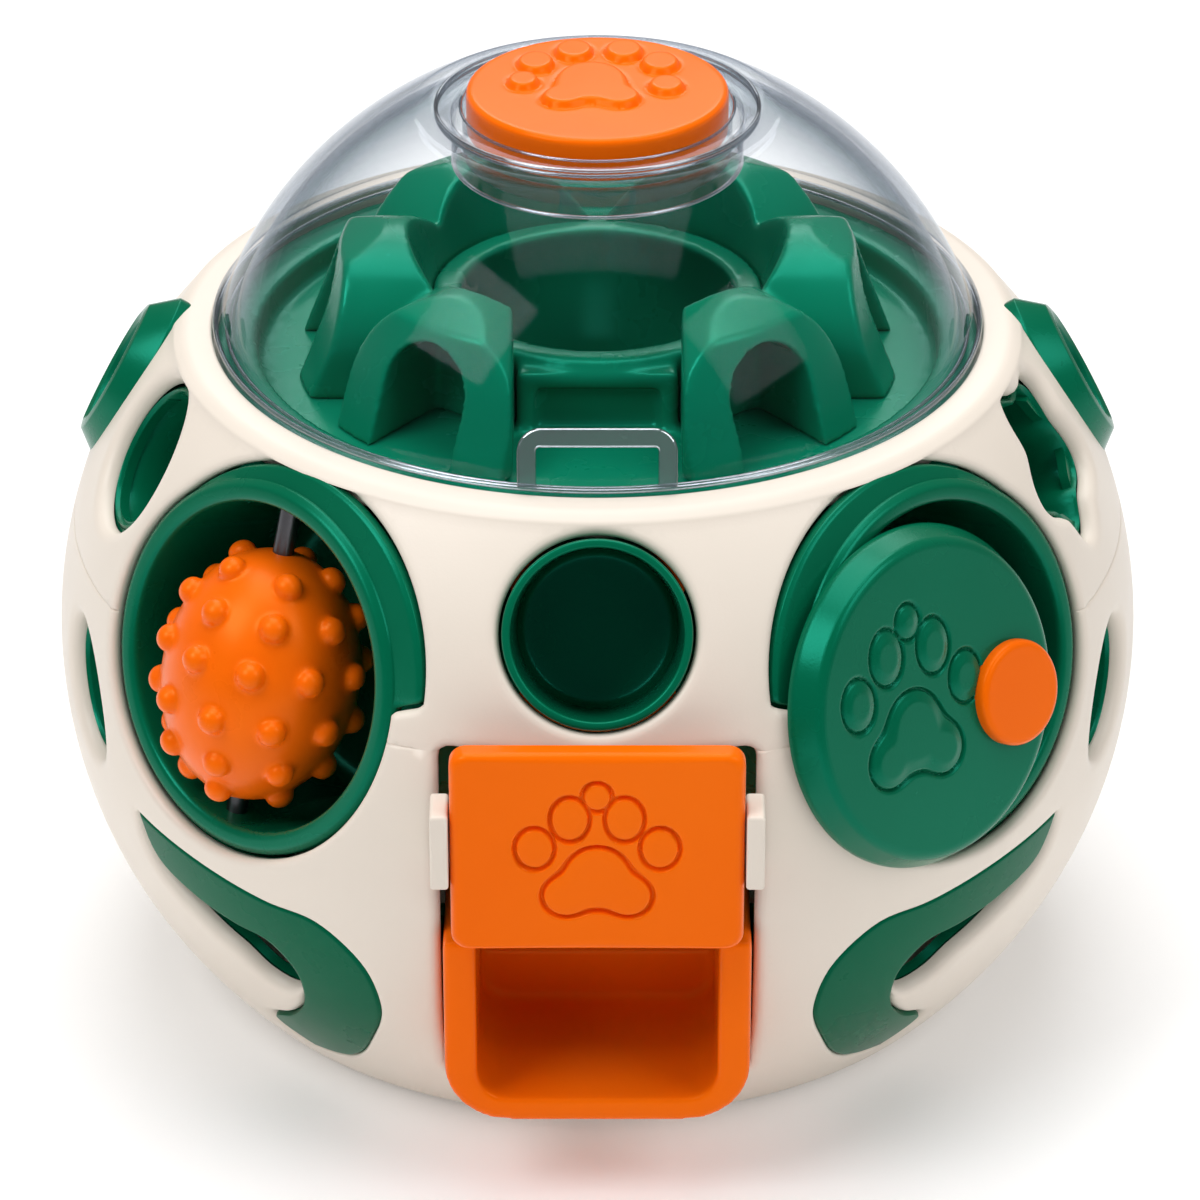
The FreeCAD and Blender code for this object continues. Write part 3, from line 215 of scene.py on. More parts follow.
# %% The moulded finishes of the ball
GREEN_GLINT, ORANGE_GLINT = (0.05, 1.0, 0.70), (1.0, 0.50, 0.14)
cream = moulded("cream_plastic", (0.80, 0.715, 0.620), (0.84, 0.755, 0.660), (0.34, 0.44), 0.12)
green = moulded("green_plastic", (0.0005, 0.108, 0.048), (0.001, 0.132, 0.062), (0.20, 0.30), 0.14,
                0.55, GREEN_GLINT)
# The fins take a darker copy of the green plastic: its darker colour is painted shade on these down-facing
# pieces, and its lower gloss is their finish.
fin_green_painted_shade = moulded("fin_green_painted_shade", (0.0005, 0.095, 0.042), (0.001, 0.120, 0.054), (0.24, 0.34), 0.14,
                     0.12, GREEN_GLINT)
# The maze and its arches take a lighter copy of the green plastic: painted light on their tops under the
# dome.
maze_green_painted_light = moulded("maze_green_painted_light", (0.001, 0.170, 0.090), (0.002, 0.215, 0.118), (0.20, 0.30), 0.12,
                     0.6, GREEN_GLINT)
orange = moulded("orange_plastic", (0.96, 0.138, 0.001), (1.0, 0.160, 0.002), (0.17, 0.26), 0.08,
                 0.3, ORANGE_GLINT)
rubber = moulded("orange_rubber", (0.95, 0.138, 0.001), (1.0, 0.155, 0.002), (0.26, 0.36), 0.10,
                 0.5, ORANGE_GLINT)
# The steel is far darker than drawn steel is: painted shade, so the roller's axle reads as lying in shadow.
steel = moulded("dark_steel_painted_shade", (0.10, 0.10, 0.11), (0.15, 0.15, 0.16), (0.26, 0.38), 0.3, metal=1.0)
print("finishes:", [finish.name for finish in (cream, green, fin_green_painted_shade, maze_green_painted_light, orange, rubber, steel)])

# %% [markdown]
# ## Clear plastic
# The dome is a thin wall, so what lies behind it is hardly bent: seen straight on it is almost
# invisible. Towards its edge the light runs a long way through it, so it turns grey-blue there, and
# it mirrors the room. With f = 1 - the cosine of the slope, the tint grows with a power of f, and the
# share of the mirror is Schlick's base + gain * f ** 5; the rest is transparent and lets the light in.

# %% Clear plastic
FLOW_SCALE, FLOW_DEPTH = 26.0, 0.0005
MIRROR_SHADES = (0.86, 0.90, 0.96), (0.93, 0.96, 1.0)


def power_of(nodes, links, value, exponent):
    """A value raised to a power."""
    power = nodes.new("ShaderNodeMath")
    power.operation = "POWER"
    links.new(value, power.inputs[0])
    power.inputs[1].default_value = exponent
    return power.outputs["Value"]


def clear_plastic(name, straight, slanted, growth, base, gain):
    """Clear finish: its tint runs to slanted with f ** growth, its mirror is base + gain * f ** 5."""
    finish, nodes, links, mirror = new_finish(name)
    mirror.inputs["Metallic"].default_value = 1.0
    mirror.inputs["Roughness"].default_value = 0.05
    flow = noise(nodes, links, nodes.new("ShaderNodeTexCoord"), FLOW_SCALE, 2.0)
    bumped(nodes, links, flow, 0.08, FLOW_DEPTH, mirror)
    links.new(shades_between(nodes, links, flow, *MIRROR_SHADES), mirror.inputs["Base Color"])
    slope = nodes.new("ShaderNodeLayerWeight")
    slope.inputs["Blend"].default_value = 0.5
    depth = power_of(nodes, links, slope.outputs["Facing"], growth)
    through = nodes.new("ShaderNodeBsdfTransparent")
    links.new(shades_between(nodes, links, depth, straight, slanted), through.inputs["Color"])
    share = nodes.new("ShaderNodeMath")
    share.operation = "MULTIPLY_ADD"
    links.new(power_of(nodes, links, slope.outputs["Facing"], 5.0), share.inputs[0])
    share.inputs[1].default_value = gain
    share.inputs[2].default_value = base
    mix = nodes.new("ShaderNodeMixShader")
    links.new(share.outputs["Value"], mix.inputs["Fac"])
    links.new(through.outputs["BSDF"], mix.inputs[1])
    links.new(mirror.outputs["BSDF"], mix.inputs[2])
    links.new(mix.outputs["Shader"], nodes["Material Output"].inputs["Surface"])
    return finish


clear = clear_plastic("clear_plastic", (0.995, 0.998, 1.0), (0.33, 0.38, 0.46), 3.0, 0.004, 0.9)
clear_thick = clear_plastic("clear_thick", (0.985, 0.99, 0.994), (0.12, 0.15, 0.20), 4.0, 0.01, 0.9)
clear_edge = clear_plastic("clear_edge", (0.80, 0.83, 0.86), (0.10, 0.12, 0.16), 2.0, 0.30, 0.7)
print("clear finishes:", [finish.name for finish in (clear, clear_thick, clear_edge)])

# %% [markdown]
# ## Turned pieces
# A pot, a cup, the dome or the button is a profile turned about an axis. The profile is a row of
# corners, and each corner has its own rounding, because no moulded edge is sharp. A rounding is a
# short parabola between two points that lie on the corner's sides.

# %% Turned pieces
def lengths_along(points):
    """Length along a row of points, from 0 at the first: the running sum of its steps."""
    return np.concatenate([[0.0], np.cumsum(np.hypot(*np.diff(points, axis=0).T))])


def softened(corners, steps=6, spacing=None):
    """Profile through (radius, distance, rounding) corners, each rounded by a short parabola."""
    corners = np.array(corners, float)
    share = np.linspace(0.0, 1.0, steps)[:, None]
    rows = [corners[:1, :2]]
    for before, here, after in zip(corners[:-2], corners[1:-1], corners[2:]):
        first = before[:2] - here[:2]
        last = after[:2] - here[:2]
        reach = min(here[2], 0.48 * np.hypot(*first), 0.48 * np.hypot(*last))
        if reach < 1e-6:
            rows.append(here[None, :2])
            continue
        start = here[:2] + first / np.hypot(*first) * reach
        end = here[:2] + last / np.hypot(*last) * reach
        rows.append((1 - share) ** 2 * start + 2 * share * (1 - share) * here[:2] + share ** 2 * end)
    rows.append(corners[-1:, :2])
    profile = np.concatenate(rows)
    if spacing:
        length = lengths_along(profile)
        extra = np.linspace(0.0, length[-1], int(length[-1] / spacing) + 1)
        places = np.unique(np.round(np.concatenate([length, extra]), 4))
        profile = np.stack([np.interp(places, length, profile[:, k]) for k in (0, 1)], axis=-1)
    return profile


print("a rounded corner has", len(softened([(0, 0, 0), (1, 0, 0.2), (1, 1, 0)])), "rows")

# %% Turning a profile
def turned(profile, columns=120, relief=None):
    """Local grid of a turned profile: (radius cos turn, radius sin turn, distance plus relief)."""
    turn = np.linspace(0.0, 2 * np.pi, columns, endpoint=False)
    x = profile[:, 0:1] * np.cos(turn)
    y = profile[:, 0:1] * np.sin(turn)
    distance = np.broadcast_to(profile[:, 1:2], x.shape)
    if relief is not None:
        distance = distance + relief(x, y, distance)
    return np.stack([x, y, distance], axis=-1)


def matched(profile, count):
    """The same profile with that many rows, evenly spread along it."""
    length = lengths_along(profile)
    place = np.linspace(0.0, length[-1], count)
    return np.stack([np.interp(place, length, profile[:, k]) for k in (0, 1)], -1)


# %% [markdown]
# ## The outlines of the windows
# Every opening in the shell is the same thing to the maths: a closed outline drawn on a plane that
# faces out of the ball. What the shell needs from it is the distance of any point to the nearest bit
# of that outline, negative inside. A port is a round with a lug that grows out of it like a crescent
# and ends in a step, a side window is an oval or a star of five lobes, and the fin has a hook of cream
# in it. Cutting such outlines with booleans would leave ragged edges, so the distance is used instead.

# %% Outlines
PORT_RADIUS, PORT_GAP, LUG_RADIUS, LUG_SHIFT, LUG_LEAN, LUG_START = 26.6, 0.4, 27.4, 3.7, 33.0, 9.0
LUG_STEP, LUG_MARGIN = 0.9, 0.6
PORT_AZIMUTH, REAR_AZIMUTH, PORT_LATITUDE = 42.8, 123.8, 16.0
PORTS = {"front_left": (-PORT_AZIMUTH, 1), "front_right": (PORT_AZIMUTH, -1),
         "rear_left": (-REAR_AZIMUTH, -1), "rear_right": (REAR_AZIMUTH, 1)}
HOLES, HOLE_LATITUDE = {"front": 0.0, "rear": 180.0}, 27.0


def lug_reach(turn, side, spare=0.0):
    """Radius of a port's rim at a turn: its round, or the off-centre round of the lug past its step."""
    turn = np.where(side > 0, turn, np.pi - turn)
    lean = turn - math.radians(LUG_LEAN)
    outer = LUG_SHIFT * np.cos(lean) + np.sqrt(LUG_RADIUS ** 2 - (LUG_SHIFT * np.sin(lean)) ** 2)
    along = np.mod(turn - math.radians(LUG_START) + LUG_MARGIN, 2 * np.pi) - LUG_MARGIN
    step = LUG_STEP / PORT_RADIUS
    share = np.clip((along + step + spare / PORT_RADIUS) / (2 * step), 0.0, 1.0)
    share = share * share * (3 - 2 * share) * (along < np.pi)
    return PORT_RADIUS + spare + np.clip(outer - PORT_RADIUS, 0.0, None) * share


print("the lug reaches out to", round(float(lug_reach(np.radians(LUG_LEAN), 1)), 2), "mm")

# %% Curves of the fins
def spline(points, count):
    """Open curve through the points: on each stretch a cubic whose slopes are those of its neighbours."""
    points = np.array(points, float)
    length = lengths_along(points)
    slope = np.gradient(points, length, axis=0)
    place = np.linspace(0.0, length[-1], count)
    here = np.clip(np.searchsorted(length, place, side="right") - 1, 0, len(points) - 2)
    width = (length[here + 1] - length[here])[:, None]
    t = ((place - length[here])[:, None]) / width
    return ((2 * t ** 3 - 3 * t ** 2 + 1) * points[here] + (t ** 3 - 2 * t ** 2 + t) * width * slope[here]
            + (3 * t ** 2 - 2 * t ** 3) * points[here + 1] + (t ** 3 - t ** 2) * width * slope[here + 1])


FIN_SIZE, FIN_EDGE, FIN_LATITUDE = np.array([42.7, 40.0]), 0.5, -18.0
FIN_OUTER = [(-0.45, 0.41), (-0.13, 0.385), (0.19, 0.345), (0.39, 0.32), (0.53, 0.16), (0.545, -0.04),
             (0.44, -0.27), (0.25, -0.5), (0.06, -0.56)]
FIN_HOOK = [(0.06, -0.56), (-0.05, -0.43), (0.1, -0.3), (0.2, -0.17), (0.23, -0.085)]
FIN_LOWER = [(0.23, -0.085), (0.14, -0.118), (0.05, -0.09), (-0.03, -0.015), (-0.11, 0.025), (-0.2, 0.075),
             (-0.33, 0.145), (-0.4, 0.2), (-0.445, 0.3), (-0.45, 0.41)]
FIN_UPPER = [(0.23, -0.085), (0.235, 0.03), (0.16, 0.14), (0.0, 0.165), (-0.19, 0.195), (-0.38, 0.265),
             (-0.45, 0.41)]
FINS = {"front_left": (-42.0, 1), "front_right": (42.0, -1), "rear_left": (-138.0, -1),
        "rear_right": (138.0, 1)}


def fin_loop(stretches, side):
    """Closed outline of (stretch, rounding) pairs, mirrored where side is -1, with its roundings."""
    loops, roundings = [], []
    for stretch, rounding in stretches:
        curve = spline(np.array(stretch) * FIN_SIZE, 60)[:-1]
        loops.append(curve * [side, 1])
        roundings.append(np.full(len(curve), rounding))
    return np.concatenate(loops), np.concatenate(roundings)

# %% Ovals and windows
def oval(half_width, half_height, lobe=0.0, tilt=0.0, count=160):
    """Oval of those half sizes, less lobe times the sine of five turns, leaned by tilt degrees."""
    turn = np.linspace(0.0, 2 * np.pi, count, endpoint=False)
    swell = 1 - lobe * np.sin(5 * turn) / half_width
    x, y = half_width * swell * np.cos(turn), half_height * swell * np.sin(turn)
    lean = math.radians(tilt)
    return np.stack([x * math.cos(lean) - y * math.sin(lean),
                     x * math.sin(lean) + y * math.cos(lean)], -1)


def window(azimuth, latitude, loop, rounding):
    """An opening: its axis, its outline and the rounding of the shell's edge along it."""
    return {"azimuth": azimuth, "latitude": latitude, "loop": loop,
            "rounding": np.broadcast_to(rounding, len(loop))}

# %% All the windows
turn = np.linspace(0.0, 2 * np.pi, 360, endpoint=False)
ring = np.stack([np.cos(turn), np.sin(turn)], -1)
windows = []
for azimuth, side in PORTS.values():
    windows.append(window(azimuth, PORT_LATITUDE, ring * lug_reach(turn, side, PORT_GAP)[:, None], 1.3))
for azimuth in HOLES.values():
    windows.append(window(azimuth, HOLE_LATITUDE, ring * 13.4, 1.5))
SIDE_WINDOWS = {
    "left_oval": (-73.0, 28.6, oval(9.6, 11.8, 0.0, 8.0)),
    "right_oval": (73.0, 28.6, oval(9.6, 11.8, 1.2, -8.0)),
    "left_slot": (-69.0, 2.5, oval(6.4, 10.4, 0.0, 35.0)),
    "right_slot": (69.0, 2.5, oval(6.4, 10.4, 0.0, -35.0)),
}
for azimuth, latitude, loop in SIDE_WINDOWS.values():
    windows.append(window(azimuth, latitude, loop, 2.2))
RINGS, RING_LATITUDE = {"left": -93.5, "right": 93.5}, 28.8
for azimuth in RINGS.values():
    windows.append(window(azimuth, RING_LATITUDE, oval(7.6, 12.5), 0.3))
for azimuth, side in FINS.values():
    loop, rounding = fin_loop([(FIN_OUTER, 0.7), (FIN_HOOK, 1.9), (FIN_LOWER, 1.9)], side)
    windows.append(window(azimuth, FIN_LATITUDE, loop, rounding))
DOOR_SIDE, DOOR_TOP, DOOR_FOOT = 21.7, 20.2, -37.85
door = softened([(DOOR_SIDE, 0, 0), (DOOR_SIDE, DOOR_TOP, 2.0), (-DOOR_SIDE, DOOR_TOP, 2.0),
                 (-DOOR_SIDE, DOOR_FOOT, 2.0), (DOOR_SIDE, DOOR_FOOT, 2.0), (DOOR_SIDE, 0, 0)], 8, 0.7)[:-1]
windows.append(window(0.0, 0.0, door, 1.6))
print(len(windows), "windows")

# %% [markdown]
# ## The cream shell
# The shell's side is an arc turned about the upright axis, so its surface unrolls onto a plane of
# azimuth and lift. There the outlines of the windows, rows of points beside them and a sparse grid
# are joined into triangles, and the triangles inside a window are dropped. Each window keeps a clean
# edge this way. Towards an outline the surface sinks along a quarter round, and the inner skin is
# the same sheet one wall further in, joined to the outer one round every opening.

# %% Distance to an outline
WINDOW_REACH, FAR_AWAY = 7.0, 99.0


def outline_distance(points, loop, rounding):
    """Signed distance to a closed outline, negative inside, and the rounding of its nearest part."""
    start, end = loop, np.roll(loop, -1, axis=0)
    run = end - start
    gap = points[:, None, :] - start[None]
    share = np.clip((gap * run).sum(-1) / (run ** 2).sum(-1), 0.0, 1.0)
    nearest = start[None] + share[..., None] * run[None]
    far = np.hypot(*np.moveaxis(points[:, None, :] - nearest, -1, 0))
    best = far.argmin(axis=1)
    above = (start[None, :, 1] > points[:, None, 1]) != (end[None, :, 1] > points[:, None, 1])
    with np.errstate(divide="ignore", invalid="ignore"):
        slope = run[None, :, 0] / run[None, :, 1]
        cross = start[None, :, 0] + (points[:, None, 1] - start[None, :, 1]) * slope
    inside = (above & (points[:, None, 0] < cross)).sum(axis=1) % 2 == 1
    return np.where(inside, -1.0, 1.0) * far[np.arange(len(points)), best], rounding[best]


def near_windows(points, openings):
    """Distance of points to the nearest outline, negative inside, with its rounding and its axis."""
    distance, rounding = np.full(len(points), FAR_AWAY), np.ones(len(points))
    axis = np.zeros((len(points), 3))
    for opening in openings:
        out, side, above = directions(opening["azimuth"], opening["latitude"])
        local = points - [0.0, 0.0, BELLY_HEIGHT]
        size = np.abs(opening["loop"]).max(axis=0) + WINDOW_REACH
        near = (local @ out > 20.0) & (np.abs(local @ side) < size[0])
        near &= np.abs(local @ above) < size[1]
        chosen = np.flatnonzero(near)
        if len(chosen):
            plane = np.stack([local[chosen] @ side, local[chosen] @ above], -1)
            gap, soft = outline_distance(plane, opening["loop"], opening["rounding"])
            better = gap < distance[chosen]
            chosen = chosen[better]
            distance[chosen], rounding[chosen], axis[chosen] = gap[better], soft[better], out
    return distance, rounding, axis


# %% The unrolled arc
COLUMNS, CELL, CUT = 384, 1.25, math.radians(165.5)
ARC_FOOT, ARC_TOP = 1.4, 98.7
TWIST = np.linspace(CUT - 2 * np.pi, CUT, COLUMNS + 1)


def lift_at(height):
    """Length along the arc, counted from the belly, at a height."""
    return SIDE_ARC * math.asin((height - BELLY_HEIGHT) / SIDE_ARC)


def on_arc(plane, inset=0.0):
    """Points of the arc: its angles are the plane's numbers divided by the arc's radius."""
    azimuth, lift = plane[:, 0] / SIDE_ARC, plane[:, 1] / SIDE_ARC
    radius = BELLY_OFFSET + (SIDE_ARC - inset) * np.cos(lift)
    return np.stack([radius * np.sin(azimuth), -radius * np.cos(azimuth),
                     BELLY_HEIGHT + (SIDE_ARC - inset) * np.sin(lift)], -1)


def unrolled(points):
    """The plane's numbers of points on the arc, with the cut where no window lies."""
    azimuth = np.arctan2(points[:, 0], -points[:, 1])
    azimuth = np.where(azimuth > CUT, azimuth - 2 * np.pi, azimuth)
    lift = np.arctan2(points[:, 2] - BELLY_HEIGHT, np.hypot(points[:, 0], points[:, 1]) - BELLY_OFFSET)
    return np.stack([azimuth, lift], -1) * SIDE_ARC


print("the arc runs from", round(lift_at(ARC_FOOT), 1), "to", round(lift_at(ARC_TOP), 1), "mm of lift")

# %% From a window's plane to the arc
def lifted(plane, azimuth, latitude, inset):
    """Points of a window's plane carried along its axis to the shell's arc, moved in by inset.

    Each step goes along the axis by the distance still missing over the slope of the arc there.
    """
    out, side, above = directions(azimuth, latitude)
    spot = (np.array([0.0, 0.0, BELLY_HEIGHT]) + plane[..., 0:1] * side + plane[..., 1:2] * above
            + (BELLY_OFFSET + SIDE_ARC - 2.0) * out).reshape(-1, 3)
    for _ in range(6):
        radius = np.hypot(spot[:, 0], spot[:, 1])
        reach = np.hypot(radius - BELLY_OFFSET, spot[:, 2] - BELLY_HEIGHT)
        slope = np.concatenate([spot[:, :2] * ((radius - BELLY_OFFSET) / radius)[:, None],
                                spot[:, 2:] - BELLY_HEIGHT], -1) / reach[:, None]
        spot = spot - ((reach - SIDE_ARC + np.ravel(inset)) / (slope @ out))[:, None] * out
    return spot.reshape(*plane.shape[:-1], 3)


def evenly(loop, rounding, spacing):
    """A closed outline and its roundings again, with points evenly spread along it."""
    closed = np.concatenate([loop, loop[:1]])
    length = lengths_along(closed)
    place = np.linspace(0.0, length[-1], int(length[-1] / spacing) + 1)[:-1]
    soft = rounding[np.clip(np.searchsorted(length, place, side="right") - 1, 0, len(loop) - 1)]
    return np.stack([np.interp(place, length, closed[:, k]) for k in (0, 1)], -1), soft


def beside(loop, distance):
    """Points beside a closed outline, moved outwards along its normals."""
    run = np.roll(loop, -1, axis=0) - np.roll(loop, 1, axis=0)
    ahead = np.roll(loop, -1, axis=0)
    turn_way = np.sign((loop[:, 0] * ahead[:, 1] - loop[:, 1] * ahead[:, 0]).sum())
    normal = turn_way * np.stack([run[:, 1], -run[:, 0]], -1) / np.hypot(*run.T)[:, None]
    return loop + normal * np.reshape(distance, (-1, 1))


# %% Triangles between outlines
def chained(count, start, closed):
    """Edges between neighbours of a row of points."""
    index = start + np.arange(count)
    return np.stack([index, np.roll(index, -1)], -1)[:count if closed else count - 1]


def triangles_of(points, edges):
    """Delaunay triangles of plane points that keep the edges, and the points with any new crossings."""
    places, _, faces, came_from, _, _ = delaunay_2d_cdt(
        [Vector(point) for point in points.tolist()], edges.tolist(), [], 0, 1e-5)
    found = np.array([point[:] for point in places])
    known = np.array([origin[0] if origin else -1 for origin in came_from])
    found[known >= 0] = points[known[known >= 0]]
    return found, np.array([face for face in faces if len(face) == 3])


# %% Rows of points on the unrolled arc
# Beside an outline the rows lie at these shares of its rounding, and one more row lies past it.
ROW_SHARES, ROW_PAST, ROW_SPACING = (0.076, 0.293, 0.617, 1.05), 0.75, 0.7
GRID_CLEAR, BORDER_CLEAR, SEAM_CLEAR, SEAM_ROW = 1.3, 0.3, 0.15, 0.35
low, seam, high = lift_at(ARC_FOOT), lift_at(SEAM_HEIGHT), lift_at(ARC_TOP)
rows, edges, count = [], [], 0
for height in (low, seam, high):
    rows.append(np.stack([TWIST * SIDE_ARC, np.full(COLUMNS + 1, height)], -1))
    edges.append(chained(COLUMNS + 1, count, False))
    count += COLUMNS + 1
extra, wanted = [], []
for opening in windows:
    loop, soft = evenly(opening["loop"], opening["rounding"], ROW_SPACING)
    spot = (opening["azimuth"], opening["latitude"])
    rows.append(unrolled(lifted(loop, *spot, 0.0)))
    edges.append(chained(len(loop), count, True))
    count += len(loop)
    for share in ROW_SHARES:
        extra.append(lifted(beside(loop, soft * share), *spot, 0.0))
        wanted.append(soft * share)
    extra.append(lifted(beside(loop, soft + ROW_PAST)[::2], *spot, 0.0))
    wanted.append((soft + ROW_PAST)[::2])
extra, wanted = np.concatenate(extra), np.concatenate(wanted)
extra = unrolled(extra[near_windows(extra, windows)[0] > 0.93 * wanted])
extra = extra[(extra[:, 1] > low + BORDER_CLEAR) & (extra[:, 1] < high - BORDER_CLEAR)
              & (np.abs(extra[:, 1] - seam) > SEAM_CLEAR)]
upright = np.concatenate([np.linspace(low, seam, int((seam - low) / CELL) + 1)[1:-1],
                          np.linspace(seam, high, int((high - seam) / CELL) + 1)[1:-1],
                          [seam - SEAM_ROW, seam + SEAM_ROW]])
grid = np.stack(np.meshgrid(TWIST * SIDE_ARC, upright), -1).reshape(-1, 2)
gap, soft, _ = near_windows(on_arc(grid), windows)
edge_columns = np.abs(np.abs(grid[:, 0] / SIDE_ARC - (CUT - np.pi)) - np.pi) < 1e-6
grid = grid[(gap > soft + GRID_CLEAR) | edge_columns]
print(count, "points on lines,", len(extra), "beside them and", len(grid), "on the grid")

# %% Triangles of the sheet
sheet, sheet_faces = triangles_of(np.concatenate(rows + [extra, grid]), np.concatenate(edges))
middle = sheet[sheet_faces].mean(axis=1)
open_air = near_windows(on_arc(middle), windows)[0] < 0.0
flat = np.abs(np.cross(sheet[sheet_faces[:, 1]] - sheet[sheet_faces[:, 0]],
                       sheet[sheet_faces[:, 2]] - sheet[sheet_faces[:, 0]])) < 1e-7
keep = ~open_air & ~flat & (middle[:, 1] > low) & (middle[:, 1] < high)
sheet_faces, middle = sheet_faces[keep], middle[keep]
print(len(sheet), "points on the unrolled arc,", len(sheet_faces), "triangles")

# %% [markdown]
# ## Two skins
# The wall goes inwards along the window's axis close to a window and along the shell's own normal
# away from it, with a blend between. So the throat of an opening is straight, as a mould needs it to
# be. A shallow groove marks the seam between the two halves. Solidify would give the wall too, but
# not a throat along one axis.

# %% Outer and inner skin
GROOVE_DEPTH, GROOVE_WIDTH = 0.10, 0.3
arc_points = on_arc(sheet)
arc_normals = arc_points - on_arc(sheet, 1.0)
gap, soft, axis = near_windows(arc_points, windows)
has_window = gap < 0.9 * FAR_AWAY
blend = np.clip(1.0 - np.maximum(gap, 0.0) / WINDOW_REACH, 0.0, 1.0)[:, None] * has_window[:, None]
slant = np.where(has_window, (axis * arc_normals).sum(-1), 1.0)[:, None]
inward = blend * axis / slant + (1.0 - blend) * arc_normals
reach = np.clip(soft - np.maximum(gap, 0.0), 0.0, None)
sink = soft - np.sqrt(soft ** 2 - reach ** 2)
groove = np.clip(1.0 - np.abs(sheet[:, 1] - seam) / GROOVE_WIDTH, 0.0, 1.0) * (reach == 0)
sink = sink + GROOVE_DEPTH * groove
arc_outer, arc_inner = arc_points - inward * sink[:, None], arc_points - inward * SHELL_WALL

print("deepest rounding", round(float(sink.max()), 2), "mm")

# %% One closed skin
def spun(profile):
    """Grid of a profile of (radius, height) rows turned through the same azimuths as the sheet."""
    return np.stack([profile[:, 0:1] * np.sin(TWIST[:-1]), -profile[:, 0:1] * np.cos(TWIST[:-1]),
                     np.broadcast_to(profile[:, 1:2], (len(profile), COLUMNS))], -1).reshape(-1, 3)


def split(quads):
    """Two triangles for each quad."""
    return np.concatenate([quads[:, [0, 1, 2]], quads[:, [0, 2, 3]]])


def shell_of(parts):
    """One closed skin from (place, outer, inner, triangles) parts that share their border points."""
    start = np.cumsum([0] + [len(part[0]) for part in parts])
    place, outer, inner = (np.concatenate([part[k] for part in parts]) for k in range(3))
    faces = np.concatenate([part[3] + first for part, first in zip(parts, start)])
    _, first, same = np.unique(np.round(place, 3), axis=0, return_index=True, return_inverse=True)
    faces = same.ravel()[faces]
    faces = faces[(faces != np.roll(faces, -1, axis=1)).all(axis=1)]
    outer, inner = outer[first], inner[first]
    edges = np.stack([faces, np.roll(faces, -1, axis=1)], -1).reshape(-1, 2)
    key = np.sort(edges, axis=1) @ [len(outer), 1]
    _, once, count = np.unique(key, return_index=True, return_counts=True)
    rim = edges[once[count == 1]]
    walls = split(np.stack([rim[:, 1], rim[:, 0], rim[:, 0] + len(outer), rim[:, 1] + len(outer)], -1))
    faces = np.concatenate([faces, faces[:, ::-1] + len(outer), walls])
    used, again = np.unique(faces, return_inverse=True)
    return np.concatenate([outer, inner])[used], again.reshape(-1, 3)


# %% [markdown]
# ## The two halves
# The sheet is divided at the seam. The lower half gets a heel that bends into the flat base, with
# four round openings for the screws, and the upper half gets the rim that the dome sits in. All
# parts share their border points, so each half comes out as one closed skin.

# %% The lower shell
BASE_RADIUS, SCREW_CIRCLE, SCREW_RADIUS, SCREW_POINTS = 57.5, 50.0, 3.2, 30
in_lower = middle[:, 1] < seam
foot_radius = BELLY_OFFSET + math.sqrt(SIDE_ARC ** 2 - (BELLY_HEIGHT - ARC_FOOT) ** 2)
heel = np.array([[BASE_RADIUS, 0.0], [58.1, 0.12], [59.0, 0.55], [foot_radius, ARC_FOOT]])
bend = np.array([[55.0, SHELL_WALL], [56.2, 2.5], [57.4, 2.8], [58.45, 3.05]])
base_ring = np.stack([np.sin(TWIST[:-1]), -np.cos(TWIST[:-1])], -1)
screws = [np.array([SCREW_CIRCLE * math.sin(a), -SCREW_CIRCLE * math.cos(a)])
          for a in np.radians([-159.0, -82.0, 82.0, 159.0])]
holes = [screw + SCREW_RADIUS * ring[::len(ring) // SCREW_POINTS] for screw in screws]
spread = np.concatenate([radius * base_ring[::step]
                         for radius, step in ((56.0, 2), (42.0, 6), (30.0, 8), (16.0, 16))])
base, base_faces = triangles_of(
    np.concatenate([BASE_RADIUS * base_ring] + holes + [spread]),
    np.concatenate([chained(COLUMNS, 0, True)]
                   + [chained(SCREW_POINTS, COLUMNS + SCREW_POINTS * k, True) for k in range(len(holes))]))
middle_of = base[base_faces].mean(axis=1)
outside = [np.hypot(*(middle_of - hole.mean(axis=0)).T) > SCREW_RADIUS for hole in holes]
base_faces = base_faces[np.all(outside, axis=0)]
radius = np.hypot(*base.T)[:, None]
pull = 0.2 * np.clip(radius - 45.0, 0, None) / np.maximum(radius, 1.0)
base_outer = np.concatenate([base, np.zeros((len(base), 1))], -1)
base_inner = np.concatenate([base * (1 - pull), np.full((len(base), 1), SHELL_WALL)], -1)
points, faces = shell_of([(arc_points, arc_outer, arc_inner, sheet_faces[in_lower]),
                          (spun(heel), spun(heel), spun(bend), split(grid_faces(4, COLUMNS))),
                          (base_outer, base_outer, base_inner, base_faces)])
piece("lower_shell_skin", points, faces, "shell", cream, ["lower_shell"],
      sharp=75, merge=0.0)

# %% The upper shell
top_radius = BELLY_OFFSET + math.sqrt(SIDE_ARC ** 2 - (ARC_TOP - BELLY_HEIGHT) ** 2)
rim = softened([(top_radius, ARC_TOP, 0), (61.6, 99.3, 0.8), (60.0, 100.4, 1.2), (56.0, 100.4, 0.5),
                (56.0, 97.2, 0.3), (54.0, 97.2, 0.4), (54.0, 96.6, 0)], 5)
under = matched(np.array([[60.3, 97.1], [59.8, 96.0], [54.0, 96.0]]), len(rim))
points, faces = shell_of([(arc_points, arc_outer, arc_inner, sheet_faces[~in_lower]),
                          (spun(rim), spun(rim), spun(under), split(grid_faces(len(rim), COLUMNS)))])
piece("upper_shell_skin", points, faces, "shell", cream, ["upper_shell"],
      sharp=75, merge=0.0)

